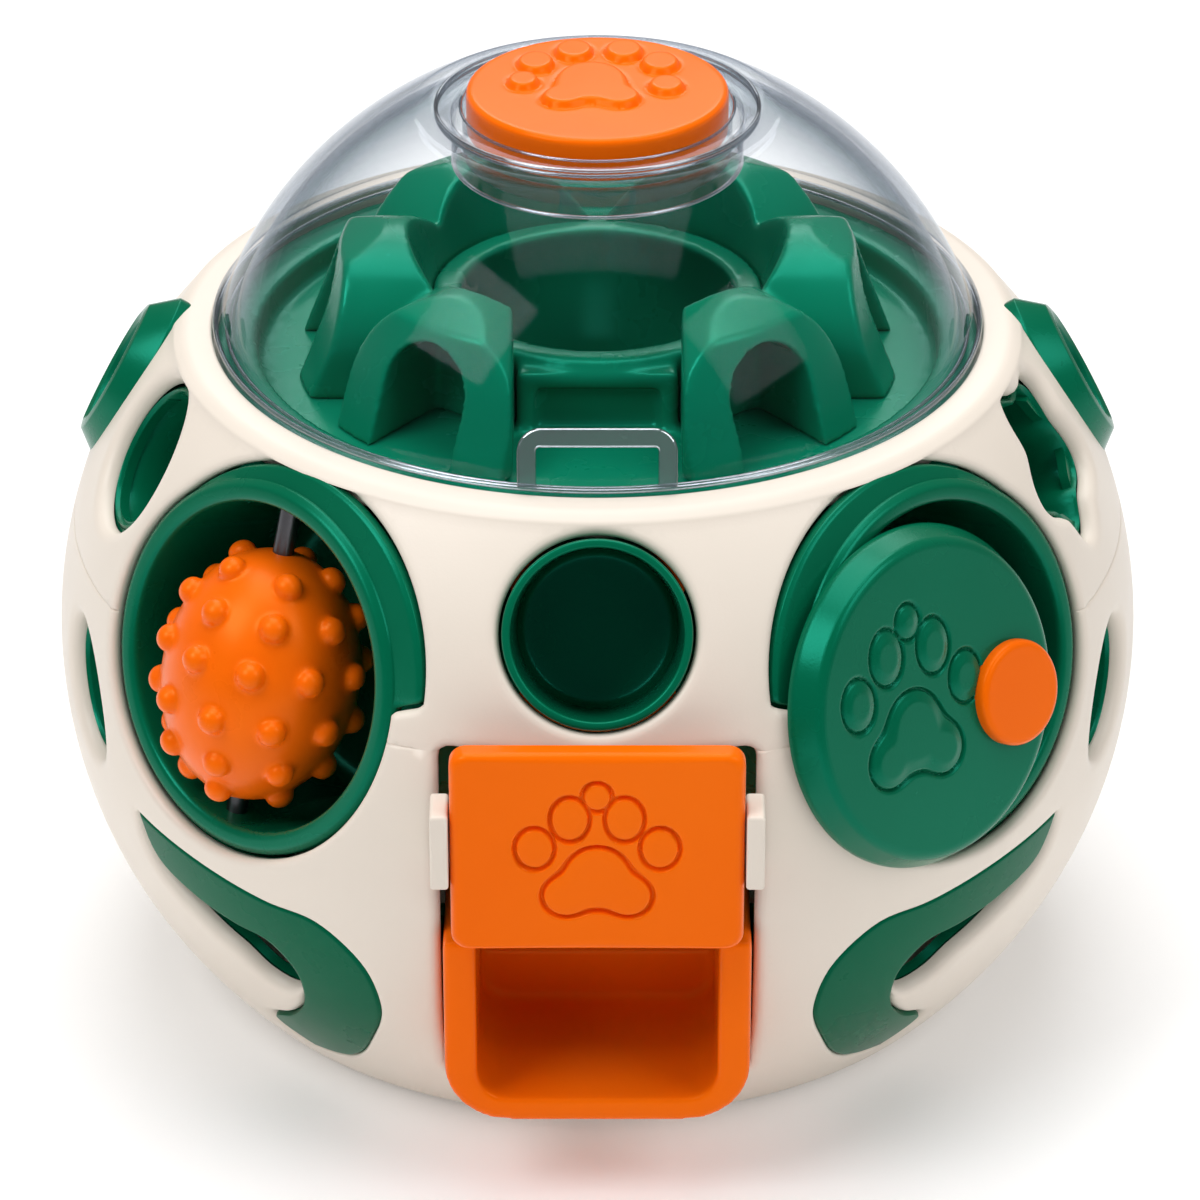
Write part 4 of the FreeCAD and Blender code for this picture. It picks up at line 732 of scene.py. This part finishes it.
# %% [markdown]
# ## Fins
# The green fins lie flush in their windows. The two long edges of a fin are paired point by point,
# so a grid runs across it from edge to edge. Filling the outline with triangles would do too, but a
# grid shades evenly. Each point is carried onto the arc along the fin's axis, and the edge is rounded
# a little, so a fine groove shows against the cream.

# %% Fin pieces
for name, (azimuth, side) in FINS.items():
    far = spline(np.array(FIN_OUTER) * FIN_SIZE * [side, 1], 120)
    hook = np.array(FIN_HOOK + FIN_UPPER[1:])
    near = spline(hook[::-1] * FIN_SIZE * [side, 1], 120)
    share = np.linspace(0.0, 1.0, 41)[:, None, None]
    plane = far[None] * (1 - share) + near[None] * share
    width = np.hypot(*np.moveaxis(far - near, -1, 0))
    gap = np.minimum(share[..., 0], 1 - share[..., 0]) * width[None]
    sink = FIN_EDGE - np.sqrt(FIN_EDGE ** 2 - np.clip(FIN_EDGE - gap, 0.0, None) ** 2)
    face = lifted(plane, azimuth, FIN_LATITUDE, sink + 0.1)
    back = lifted(plane, azimuth, FIN_LATITUDE, np.full(gap.shape, SHELL_WALL + 0.2))
    rows = np.concatenate([face, back[::-1], face[:1]])
    # The fins wear the darker green, which is painted shade.
    piece(name + "_fin", rows, grid_faces(len(rows), gap.shape[1], wrap=False), "shell", fin_green_painted_shade,
          [name + "_inlay"], 60)

# %% [markdown]
# ## Pots and cups
# A pot is a deep cup with a flat bevelled rim. Spin would turn it, but its rim reaches out to the
# lug. So the outer rows of the profile take their radius from the same outline as the window, less
# the gap round it, and the fit in the port is right by its making.

# %% Pots
POT_RADIUS, POT_FACE, POT_FLOOR, RIM_RADIUS, RIM_FACE, POT_COLUMNS = 23.3, 74.2, 45.3, 26.5, 73.1, 288
for name, (azimuth, side) in PORTS.items():
    turn = np.linspace(0.0, 2 * np.pi, POT_COLUMNS, endpoint=False)
    reach = lug_reach(turn, side)
    inner_rows = softened([(0, POT_FLOOR, 0), (POT_RADIUS - 1.2, POT_FLOOR, 3.0), (POT_RADIUS, POT_FACE, 1.1),
                           (25.6, POT_FACE, 0.5), (26.4, 73.4, 0.3), (RIM_RADIUS, RIM_FACE, 0)], 7, 1.5)
    outer_rows = softened([(0.0, RIM_FACE, 0), (0.86, 72.75, 0.1), (1.0, 72.3, 0.12), (1.0, 70.9, 0)], 4)
    under_rows = softened([(26.2, 70.8, 0), (24.9, 70.8, 0.4), (24.6, 44.0, 1.5), (0, 43.7, 0)], 5, 3.0)
    radius = np.concatenate([np.broadcast_to(inner_rows[:, 0:1], (len(inner_rows), POT_COLUMNS)),
                             RIM_RADIUS + outer_rows[:, 0:1] * (reach - RIM_RADIUS),
                             np.broadcast_to(under_rows[:, 0:1], (len(under_rows), POT_COLUMNS))])
    distance = np.concatenate([inner_rows[:, 1], outer_rows[:, 1], under_rows[:, 1]])[:, None]
    local = np.stack([radius * np.cos(turn), radius * np.sin(turn),
                      np.broadcast_to(distance, radius.shape)], -1)
    piece(name + "_port_pot", carried(local, azimuth, PORT_LATITUDE), grid_faces(*radius.shape), "shell",
          green, [name + "_pot"], 55)

# %% Round cups
profile = softened([(0, 55.2, 0), (11.2, 55.2, 2.0), (11.8, 78.4, 0.5), (13.0, 78.4, 0.5), (13.0, 54.0, 0.6),
                    (0, 54.0, 0)], 6, 2.5)
local = turned(profile, 144)
for name, azimuth in HOLES.items():
    piece(name + "_round_cup", carried(local, azimuth, HOLE_LATITUDE), grid_faces(*local.shape[:2]), "shell",
          green, [name + "_cup"])

# %% [markdown]
# ## The rings on the flanks
# On each flank a proud oval ring stands out of the shell. It is a profile carried round an oval: the
# share scales the oval, and the distance is counted along the ring's axis. A torus would be quicker,
# but the real ring has a flat face and a slanted skirt.

# %% Rings
RING_HALF_WIDTH, RING_HALF_HEIGHT, RING_POINT, RING_FOOT = 9.6, 14.6, 1.3, 75.2
profile = softened([(0.0, 77.4, 0), (0.52, 77.4, 0.05), (0.62, 81.0, 0.05), (0.69, 81.5, 0.04),
                    (0.78, 81.2, 0.08), (1.0, 77.6, 0.1), (1.0, RING_FOOT, 0)], 6)
profile = np.concatenate([profile, [[0.0, RING_FOOT]]])
turn = np.linspace(0.0, 2 * np.pi, 160, endpoint=False)
outline = np.stack([RING_HALF_WIDTH * np.sign(np.cos(turn)) * np.abs(np.cos(turn)) ** RING_POINT,
                    RING_HALF_HEIGHT * np.sin(turn)], -1)
local = np.concatenate([profile[:, 0, None, None] * outline,
                        np.broadcast_to(profile[:, 1, None, None], (len(profile), len(outline), 1))], -1)
for name, azimuth in RINGS.items():
    piece(name + "_flank_ring", carried(local, azimuth, RING_LATITUDE), grid_faces(*local.shape[:2]), "shell",
          green, [name + "_ring"], 60)

# %% [markdown]
# ## Sleeves behind the side windows
# Each side window has a green sleeve whose rim catches the light just inside the cream edge. It is
# the window's own outline, a little smaller, carried inwards along the window's axis. Solidify on
# the liner would be a wall of the same kind, but without the bright rim.

# %% Sleeves
# Outer lip, face and inner lip of the rim: the share of the outline and the depth under the arc.
SLEEVE_RIM, SLEEVE_DEPTH = ((0.95, 2.5), (0.90, 2.1), (0.86, 2.6)), 9.0
for name, (azimuth, latitude, loop) in SIDE_WINDOWS.items():
    lip, rim_face, inner_lip = [lifted(loop * share, azimuth, latitude, np.full(len(loop), depth))
                                for share, depth in SLEEVE_RIM]
    deep = SLEEVE_DEPTH * directions(azimuth, latitude)[0]
    rows = np.stack([lip, rim_face, inner_lip, inner_lip - deep, lip - deep, lip])
    piece(name + "_sleeve", rows, grid_faces(6, len(loop)), "shell", green, sharp=60)

# %% [markdown]
# ## The spiky roller
# The roller is an egg with round knobs. Its surface is an ellipsoid on a fine grid, pushed out by the
# nearest knob: a knob is a low dome, its height times the square root of one minus the squared share
# of its radius, and a small ridge eases its foot into the egg. Knobs laid on as balls would leave a
# sharp crease there.

# %% Roller
ROLLER, ROLLER_OUT, ROLLER_SIDE, ROLLER_UP = (14.0, 18.2), 69.0, -2.4, -2.4
KNOB_RADIUS, KNOB_HEIGHT, FOOT_HEIGHT, FOOT_PLACE, FOOT_WIDTH = 2.0, 1.9, 0.22, 1.85, 0.5
EGG_ROWS, EGG_COLUMNS = 261, 340
rank_lifts, rank_counts = [-58, -35, -12, 12, 35, 58], [5, 8, 10, 10, 8, 5]
knob_lift = np.radians(np.repeat(rank_lifts, rank_counts))
knob_turn = 2 * np.pi * np.concatenate([(np.arange(count) + 0.5 * (rank % 2)) / count
                                        for rank, count in enumerate(rank_counts)])
knobs = np.stack([ROLLER[0] * np.cos(knob_lift) * np.cos(knob_turn),
                  ROLLER[0] * np.cos(knob_lift) * np.sin(knob_turn), ROLLER[1] * np.sin(knob_lift)], -1)
lift = np.linspace(-np.pi / 2, np.pi / 2, EGG_ROWS)[:, None]
turn = np.linspace(0.0, 2 * np.pi, EGG_COLUMNS, endpoint=False)[None]
egg = np.stack([ROLLER[0] * np.cos(lift) * np.cos(turn), ROLLER[0] * np.cos(lift) * np.sin(turn),
                ROLLER[1] * np.sin(lift) * np.ones_like(turn)], -1)
away = egg / np.array([ROLLER[0] ** 2, ROLLER[0] ** 2, ROLLER[1] ** 2])
away /= np.linalg.norm(away, axis=-1, keepdims=True)
nearest = np.min(np.stack([np.linalg.norm(egg - knob, axis=-1) for knob in knobs]), axis=0)
dome_part = np.sqrt(np.clip(1 - (nearest / KNOB_RADIUS) ** 2, 0.0, None)) * KNOB_HEIGHT
foot_part = FOOT_HEIGHT * np.exp(-((nearest - FOOT_PLACE) / FOOT_WIDTH) ** 2)
egg = egg + away * np.maximum(dome_part, foot_part)[..., None]
out, side, above = directions(-PORT_AZIMUTH, PORT_LATITUDE)
middle = np.array([0.0, 0.0, BELLY_HEIGHT]) + ROLLER_OUT * out + ROLLER_SIDE * side + ROLLER_UP * above
# The egg's long axis lies along above, its x along side and its y against out.
points = middle + egg[..., 0:1] * side - egg[..., 1:2] * out + egg[..., 2:3] * above
piece("spiky_roller", points, grid_faces(EGG_ROWS, EGG_COLUMNS), "roller_body", rubber,
      ["roller"], 80)

# %% [markdown]
# ## Paw prints
# A paw is a pad and some toes. Each toe is an oval, and the pad is a few rounds melted together. The
# relief is worked out from the distance to the nearest outline: a shallow moat runs round it, and
# the inside swells a little. A bump in the finish would look flat from the side, so the paw is in
# the mesh.

# %% Paws
# Toes are (x, y, half width, half height), and the rounds of a pad are (x, y, radius).
MELT = 1.1
PAW_FIVE = [(0.0, 13.3, 1.7, 1.9), (-3.7, 9.8, 2.4, 3.1), (3.7, 9.8, 2.4, 3.1), (-8.5, 5.2, 2.4, 2.9),
            (8.5, 5.2, 2.4, 2.9)]
PAD_WIDE = [(0.0, 1.3, 3.7), (-4.3, -2.4, 2.9), (4.3, -2.4, 2.9), (0.0, -0.2, 3.5)]
PAD_TALL = [(-0.9, 3.0, 4.6), (-4.9, -4.3, 3.1), (3.1, -4.3, 3.1), (-0.9, -0.4, 5.2)]
PAW_SIX = [(-3.4, 12.3, 2.9, 3.6), (3.8, 12.3, 2.9, 3.6), (-8.9, 8.0, 2.8, 3.6), (9.0, 7.8, 2.9, 3.6),
           (-10.6, 1.4, 2.4, 3.0), (9.8, -0.2, 2.7, 3.2)]


def paw_distance(x, y, toes, pad):
    """Distance to the nearest outline, negative inside.

    The pad's is minus the logarithm of the sum of exp(-distance) over its rounds, so they melt as one.
    A toe's is how far its scaled radius is from one, times its mean half size.
    """
    melt = np.zeros_like(x)
    for cx, cy, r in pad:
        melt = melt + np.exp(-MELT * (np.hypot(x - cx, y - cy) - r))
    found = -np.log(melt) / MELT
    for cx, cy, half_width, half_height in toes:
        scaled = np.hypot((x - cx) / half_width, (y - cy) / half_height)
        found = np.minimum(found, (scaled - 1) * math.sqrt(half_width * half_height))
    return found


def eased(value):
    """Smooth step from 0 to 1 while the value goes from 0 to 1."""
    value = np.clip(value, 0.0, 1.0)
    return value * value * (3 - 2 * value)


def paw_relief(distance, depth, swell, width):
    """Height of a paw: a moat of that width round the outline, and a swelling inside it."""
    moat = eased((distance + 0.1) / 0.3) * eased((width + 0.2 - distance) / 0.3)
    return -depth * moat + swell * eased(-distance / 1.3)


print(len(PAW_FIVE), "toes on the lid and the gate,", len(PAW_SIX), "on the button")

# %% [markdown]
# ## The swing lid
# The lid is a disc with a bevelled edge that turns on a pin. Its orange knob is pushed by a nose or
# a paw. Both are turned profiles, and the paw is added to the lid's face as a relief, on a grid fine
# enough to hold its moat.

# %% Swing lid
LID_BASE, LID_FACE, LID_LEFT, LID_DOWN = 74.5, 79.3, 6.8, 1.6
LID_PAW_LEFT, LID_PAW_DOWN, LID_PAW_LEAN, LID_PAW_SCALE = 5.2, 3.4, math.radians(-8.0), 1.2
PUSH_RIGHT, PUSH_DOWN, PUSH_RADIUS = 14.1, 4.0, 7.5


def lid_relief(x, y, distance):
    """Paw on the lid's face only, turned and set to the left of the knob, which stands on plain face."""
    px, py = x + LID_PAW_LEFT, y + LID_PAW_DOWN
    lean_cos, lean_sin = math.cos(LID_PAW_LEAN), math.sin(LID_PAW_LEAN)
    px, py = (px * lean_cos + py * lean_sin) / LID_PAW_SCALE, (-px * lean_sin + py * lean_cos) / LID_PAW_SCALE
    paw = paw_relief(paw_distance(px, py, PAW_FIVE, PAD_WIDE), 0.6, 0.35, 0.35)
    around_knob = np.hypot(x - PUSH_RIGHT, y + PUSH_DOWN)
    return np.where(distance > LID_FACE - 0.05, paw * (around_knob > PUSH_RADIUS), 0.0)


profile = softened([(0, LID_BASE, 0), (24.1, LID_BASE, 0.3), (24.1, LID_BASE + 1.0, 0.5),
                    (22.2, LID_FACE, 1.0), (0, LID_FACE, 0)], 6, 0.2)
local = turned(profile, 360, lid_relief)
points = carried(local, PORT_AZIMUTH, PORT_LATITUDE, right=-LID_LEFT, up=-LID_DOWN)
piece("paw_lid", points, grid_faces(*local.shape[:2]), "lid_body", green, ["swing_lid"], 60)

# %% Knob of the lid
profile = softened([(0, LID_FACE - 0.4, 0), (PUSH_RADIUS, LID_FACE - 0.4, 0.2),
                    (PUSH_RADIUS, LID_FACE + 1.8, 1.5), (0, LID_FACE + 1.8, 0)], 8, 1.0)
local = turned(profile, 120)
points = carried(local, PORT_AZIMUTH, PORT_LATITUDE, right=PUSH_RIGHT - LID_LEFT, up=-PUSH_DOWN - LID_DOWN)
piece("lid_push_knob", points, grid_faces(*local.shape[:2]), "lid_body", orange,
      ["lid_knob"])

# %% [markdown]
# ## The gate
# The gate is a rounded plate that a pet slides up, held by a cream clip on each side. Its rows shrink
# from the outline to the middle, so they are dense where the paw is, and the outline is a rectangle
# whose corners are arcs. A bevelled box would be quicker, but it has no points to carry the paw.

# %% Rounded plates
def rounded_rectangle(half_width, half_height, corner, count):
    """Points round a rectangle with arcs for corners, evenly spread along it."""
    quarter = np.linspace(0.0, np.pi / 2, 12)
    x, y = half_width - corner, half_height - corner
    arcs = [np.stack([cx + corner * np.cos(quarter + k * np.pi / 2),
                      cy + corner * np.sin(quarter + k * np.pi / 2)], -1)
            for k, (cx, cy) in enumerate([(x, y), (-x, y), (-x, -y), (x, -y)])]
    loop = np.concatenate(arcs + [arcs[0][:1]])
    return matched(loop, count + 1)[:-1]


def no_relief(x, y):
    """A plain face."""
    return np.zeros_like(x)


def plate(loop, edge, thickness, relief, rings=110, steps=7):
    """Plate with its front at height 0.

    The rings of its face are the outline less its edge, times a share from 0 to 1. The front edge is a
    quarter round, then come the side and the back, which runs to the middle.
    """
    unit = loop / np.hypot(*loop.T)[:, None]
    share = np.linspace(0.0, 1.0, rings)[:, None, None]
    top = (loop - unit * edge)[None] * share
    arc = np.linspace(0.0, np.pi / 2, steps)[1:, None]
    bend = loop[None] - unit[None] * (edge * (1 - np.sin(arc)))[..., None]
    flat = np.concatenate([top, bend, loop[None], 0.0 * loop[None]])
    height = np.zeros(flat.shape[:2])
    height[:rings] = relief(top[..., 0], top[..., 1])
    height[rings:rings + steps - 1] = -edge * (1 - np.cos(arc))
    height[-2:] = -thickness
    return np.concatenate([flat, height[..., None]], axis=-1)


def at_front(local, height, face, right=0.0):
    """A plate's points and faces with its middle at a height and its front at a distance to -Y."""
    points = carried(local, 0.0, 0.0, height=height, right=right)
    points[..., 1] -= face
    return points, grid_faces(*local.shape[:2])


print("a plain plate has", plate(ring, 0.1, 1.0, no_relief, 4).shape[:2], "points")

# %% Gate
GATE_HALF_WIDTH, GATE_HALF_HEIGHT, GATE_MIDDLE, GATE_FACE = 20.0, 15.5, 60.35, 84.0
GATE_PAW_DOWN = 4.3
TONGUE_HALF_HEIGHT, TONGUE_FOOT, TONGUE_FACE = 7.5, 54.6, 81.0


def gate_relief(x, y):
    """Paw on the gate, with its pad a little under the middle."""
    return paw_relief(paw_distance(x, y + GATE_PAW_DOWN, PAW_FIVE, PAD_WIDE), 0.9, 0.1, 0.6)


gate_loop = rounded_rectangle(GATE_HALF_WIDTH, GATE_HALF_HEIGHT, 2.4, 420)
tongue_loop = rounded_rectangle(GATE_HALF_WIDTH, TONGUE_HALF_HEIGHT, 0.4, 160)
points, faces = joined([
    at_front(plate(gate_loop, 1.3, 3.0, gate_relief), GATE_MIDDLE, GATE_FACE),
    at_front(plate(tongue_loop, 0.2, 1.2, no_relief, 4), TONGUE_FOOT + TONGUE_HALF_HEIGHT, TONGUE_FACE)])
piece("paw_gate", points, faces, "gate_body", orange, ["front_gate"], 60)

# %% Clips
CLIP_SIDE, CLIP_MIDDLE, CLIP_FACE = 21.45, 60.6, 84.3
clip = plate(rounded_rectangle(1.25, 5.8, 0.5, 160), 0.5, 6.4, no_relief, 6)
for name, side in (("left", -1), ("right", 1)):
    points, faces = at_front(clip, CLIP_MIDDLE, CLIP_FACE, side * CLIP_SIDE)
    piece("gate_clip_" + name, points, faces, "shell", cream, [name + "_clip"], 60)

# %% [markdown]
# ## The button and its well
# The button is a shallow cap with a raised paw, hollow from below. It sits in a clear well with a
# flange. Both are turned profiles, like the pots, because they are round and moulded in one piece.

# %% Button
BUTTON_FACE, PAD_HEIGHT, PAD_SLOPE, PAD_GROOVE, GROOVE_REACH = 136.6, 0.95, 0.8, 0.12, 0.4


def button_relief(x, y, distance):
    """Pads on the button's face: s * (2 - s) high with s the share of their slope, and a fine groove."""
    found = paw_distance(x, y, PAW_SIX, PAD_TALL)
    raised = np.clip(-found / PAD_SLOPE, 0.0, 1.0)
    relief = PAD_HEIGHT * raised * (2 - raised) - PAD_GROOVE * np.exp(-(found / GROOVE_REACH) ** 2)
    return np.where(distance > BUTTON_FACE - 0.05, relief, 0.0)


profile = softened([(0, 134.6, 0), (16.7, 134.6, 0.8), (16.7, 130.4, 0.3), (18.7, 130.4, 0.4),
                    (18.7, BUTTON_FACE, 1.0), (0, BUTTON_FACE, 0)], 7, 0.3)
local = turned(profile, 300, button_relief)
points = carried(local, 0, 90, height=0.0)
piece("push_button", points, grid_faces(*local.shape[:2]), "button_body", orange,
      ["top_button"], 60)

# %% Well
profile = softened([(0, 125.4, 0), (20.9, 125.4, 0.5), (20.9, 133.0, 0.3), (23.3, 133.0, 0.5),
                    (23.3, 134.2, 0.5), (19.3, 134.2, 0.5), (19.3, 126.6, 0.6), (3.4, 126.6, 0.2),
                    (3.4, 129.2, 0.4), (0, 129.2, 0)], 6)
local = turned(profile, 144)
piece("clear_well", carried(local, 0, 90, height=0.0), grid_faces(*local.shape[:2]), "dome_body", clear_thick,
      ["button_well"], 60)

# %% [markdown]
# ## The dome and its latch
# The dome is a clear bowl, open at the top for the well. Its outer and inner skins are two arcs about
# one centre, with a small bead at the foot. Two skins matter, because light crosses both of them. The
# latch is a clear bar bent to a U and laid on the dome: a round-edged section is carried along a path,
# and each point is then pushed out from the dome's centre.

# %% Dome
DOME_CENTRE, DOME_ARC, DOME_WALL = 81.0, 58.7, 1.8


def dome_rows(arc, low, high, count):
    """Rows (arc cos lift, centre + arc sin lift) of the dome, from a height to a radius near its top."""
    first, last = math.asin((low - DOME_CENTRE) / arc), math.acos(high / arc)
    lift = np.linspace(first, last, count)
    return np.stack([arc * np.cos(lift), DOME_CENTRE + arc * np.sin(lift)], -1)


profile = np.concatenate([[[53.6, 98.6], [55.5, 98.6], [55.6, 98.9], [55.6, 100.2], [55.7, 100.9],
                           [55.9, 101.4], [55.8, 102.0], [55.3, 102.4]],
                          dome_rows(DOME_ARC, 102.8, 26.6, 48),
                          [[25.6, 133.6], [21.1, 132.4], [21.1, 130.6], [25.0, 131.8]],
                          dome_rows(DOME_ARC - DOME_WALL, 99.2, 26.2, 48)[::-1], [[53.6, 98.6]]])
local = turned(profile, 192)
piece("clear_dome", carried(local, 0, 90, height=0.0), grid_faces(*local.shape[:2]), "dome_body", clear,
      ["dome"], 60)

# %% Latch
LATCH_LATITUDE, LATCH_SQUARENESS, LATCH_LIFT = 24.3, 0.45, 0.03


def latch_rows(half_width, half_height, bar, corner, proud, steps=9):
    """Bar bent to an upside-down U on the dome: rows of a section along the U, with closed ends.

    The section is (cos, sin) of the turn, both raised to a power under one, which squares it.
    """
    reach, top = half_width - bar / 2, half_height - bar / 2
    quarter = np.linspace(0.0, np.pi / 2, steps)
    legs = np.linspace(-half_height, top - corner, steps)
    left = np.stack([np.full(steps, -reach), legs], -1)
    bend = np.stack([corner - reach - corner * np.cos(quarter), top - corner + corner * np.sin(quarter)], -1)
    middle = np.stack([np.linspace(corner - reach, reach - corner, 2 * steps), np.full(2 * steps, top)], -1)
    mirrored = np.array([-1.0, 1.0])
    path = np.concatenate([left, bend[1:], middle[1:-1], (bend * mirrored)[::-1],
                           (left * mirrored)[::-1][1:]])
    ahead = np.gradient(path, axis=0)
    ahead /= np.hypot(*ahead.T)[:, None]
    sideways = np.stack([-ahead[:, 1], ahead[:, 0]], -1)
    turn = np.linspace(0.0, 2 * np.pi, 32, endpoint=False)
    across = bar / 2 * np.sign(np.cos(turn)) * np.abs(np.cos(turn)) ** LATCH_SQUARENESS
    height = np.sign(np.sin(turn)) * np.abs(np.sin(turn)) ** LATCH_SQUARENESS
    height = proud / 2 * (1 + height) + LATCH_LIFT
    flat = path[:, None] + sideways[:, None] * across[None, :, None]
    rows = np.concatenate([flat, np.broadcast_to(height[None, :, None], (*flat.shape[:2], 1))], -1)
    caps = [np.broadcast_to(rows[k].mean(axis=0), rows[k].shape) for k in (0, -1)]
    return np.concatenate([caps[:1], rows, caps[1:]])


local = latch_rows(11.0, 4.0, 2.7, 1.9, 1.5)
out, side, above = directions(0.0, LATCH_LATITUDE)
aim = DOME_ARC * out + local[..., 0:1] * side + local[..., 1:2] * above
points = aim / np.linalg.norm(aim, axis=-1, keepdims=True) * (DOME_ARC + local[..., 2:3])
piece("clear_latch", points + np.array([0.0, 0.0, DOME_CENTRE]), grid_faces(*local.shape[:2]), "dome_body",
      clear_edge, ["dome_latch"], 60)

# %% [markdown]
# ## Bright edges of the clear plastic
# A round edge of clear plastic gathers the light of the room and shows as a bright line. Thin round
# beads lie along the dome's foot, the flange of the well and the foot of the well. Bending the light
# in the shader would show the same, but it darkens what stands behind a thin wall.

# %% Clear edges
# Each bead is (radius of the ring, height, radius of the bead).
BEADS = [(55.4, 100.9, 0.38), (53.8, 100.5, 0.28), (23.05, 133.95, 0.30), (23.05, 133.15, 0.26),
         (19.55, 133.9, 0.24), (20.65, 125.75, 0.32)]
beads = []
turn = np.linspace(0.0, 2 * np.pi, 14)
for radius, height, tube in BEADS:
    profile = np.stack([radius + tube * np.cos(turn), height + tube * np.sin(turn)], -1)
    local = turned(profile, 240)
    beads.append((carried(local, 0, 90, height=0.0), grid_faces(*local.shape[:2])))
points, faces = joined(beads)
piece("clear_edge_beads", points, faces, "dome_body", clear_edge, sharp=80)

# %% [markdown]
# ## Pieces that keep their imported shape
# The maze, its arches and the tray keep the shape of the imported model. A copy of each is merged,
# remade in even cells and smoothed, so its edges come out rounded as on a moulding. Bevel would need
# clean edges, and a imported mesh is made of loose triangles. The small parts inside stay as packed and
# only get a finish.

# %% Rounded copies
def rounded_copy(name, nodes, body, finish, cell, passes):
    """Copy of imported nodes, merged, remeshed in cells of that size and relaxed over some passes."""
    work = bmesh.new()
    for node in nodes:
        work.from_mesh(frame["nodes"][node].data)
    bmesh.ops.remove_doubles(work, verts=work.verts, dist=1e-6)
    mesh = bpy.data.meshes.new(name)
    work.to_mesh(mesh)
    work.free()
    thing = bpy.data.objects.new(name, mesh)
    bpy.context.scene.collection.objects.link(thing)
    cells = thing.modifiers.new("cells", "REMESH")
    cells.mode = "VOXEL"
    cells.voxel_size = cell * MM
    relax = thing.modifiers.new("relax", "SMOOTH")
    relax.factor, relax.iterations = 0.5, passes
    finished = thing.evaluated_get(bpy.context.evaluated_depsgraph_get())
    made = bpy.data.meshes.new_from_object(finished)
    thing.modifiers.clear()
    thing.data = made
    made.shade_smooth()
    made.materials.clear()
    made.materials.append(finish)
    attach(thing, body)
    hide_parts(*nodes)
    print(name, len(made.vertices), "vertices")


# The maze deck and its arches wear the lighter green, which is painted light.
rounded_copy("maze_deck", ["maze"], "shell", maze_green_painted_light, 0.65, 7)
rounded_copy("maze_arches_left", ["left_arches"], "shell", maze_green_painted_light, 0.45, 14)
rounded_copy("maze_arches_right", ["right_arches"], "shell", maze_green_painted_light, 0.45, 14)
rounded_copy("scoop_tray", ["treat_tray"], "tray_body", orange, 0.5, 12)

# %% Finishes of the imported parts that stay
# Steel parts take the darkened steel, which is painted shade.
kept = {"green_plastic": green, "orange_plastic": orange, "steel": steel}
slots = {part["node"]: part["material_slot"] for part in frame["record"]["subparts"]}
for node, thing in frame["nodes"].items():
    if not thing.hide_render and slots[node] in kept:
        thing.data.materials.clear()
        thing.data.materials.append(kept[slots[node]])
        print(node, "keeps its packed shape")

# %% [markdown]
# ## Floor, light and camera
# A plain pale floor, a soft light above, two beside the viewer and one behind the ball. Large lights
# near the ball give wide, soft highlights, and an even world fills the shadows. The camera looks down
# at the ball by 29 degrees through a long lens.

# %% Floor
FLOOR_HALF = 4000.0
corners = FLOOR_HALF * np.array([[-1.0, -1.0, 0.0], [1.0, -1.0, 0.0], [1.0, 1.0, 0.0], [-1.0, 1.0, 0.0]])
floor_mesh = mesh_of("floor", corners, np.array([[0, 1, 2, 3]]))
floor_thing = bpy.data.objects.new("floor", floor_mesh)
bpy.context.scene.collection.objects.link(floor_thing)
floor_finish = bpy.data.materials.new("pale_floor")
floor_finish.use_nodes = True
floor_shader = floor_finish.node_tree.nodes["Principled BSDF"]
floor_shader.inputs["Base Color"].default_value = (0.88, 0.88, 0.88, 1.0)
floor_shader.inputs["Roughness"].default_value = 0.8
floor_shader.inputs["Emission Color"].default_value = (1.0, 1.0, 1.0, 1.0)
floor_shader.inputs["Emission Strength"].default_value = 0.15
floor_mesh.materials.append(floor_finish)
print("floor,", 2 * FLOOR_HALF * MM, "m wide")

# %% Lights and world
world = bpy.data.worlds.new("studio")
bpy.context.scene.world = world
world.use_nodes = True
background = world.node_tree.nodes["Background"]
background.inputs["Color"].default_value = (1.0, 1.0, 1.0, 1.0)
background.inputs["Strength"].default_value = 0.22


def soft_light(name, place, target, size, power):
    """Large square light at a place, turned to its target."""
    data = bpy.data.lights.new(name, "AREA")
    data.size, data.energy = size, power
    lamp = bpy.data.objects.new(name, data)
    lamp.location = place
    direction = np.array(target) - np.array(place)
    distance = np.linalg.norm(direction)
    lamp.rotation_euler = (math.acos(-direction[2] / distance), 0.0,
                           math.atan2(direction[1], direction[0]) - math.pi / 2)
    bpy.context.scene.collection.objects.link(lamp)
    print(name, "light of", power, "watts")


BELLY, DOME_FOOT = (0, 0, 0.06), (0, 0, 0.08)
soft_light("key", (-0.60, -0.40, 0.90), BELLY, 0.5, 4.6)
soft_light("fill", (0.70, -0.40, 0.80), BELLY, 0.5, 2.8)
soft_light("top", (0.0, 0.10, 1.10), BELLY, 0.8, 7.0)
soft_light("back", (0.0, 0.75, 0.80), DOME_FOOT, 0.6, 3.0)

# %% Camera
camera_data = bpy.data.cameras.new("camera")
camera_data.lens, camera_data.sensor_width = 159.6, 36.0
camera = bpy.data.objects.new("camera", camera_data)
camera.location = (0.00037, -0.6966, 0.4401)
camera.rotation_euler = (1.0638, 0.0, 0.0)
bpy.context.scene.collection.objects.link(camera)
bpy.context.scene.camera = camera
bpy.context.scene.view_settings.view_transform = "Standard"
print("camera tilted", round(90 - math.degrees(camera.rotation_euler.x), 1), "degrees down")
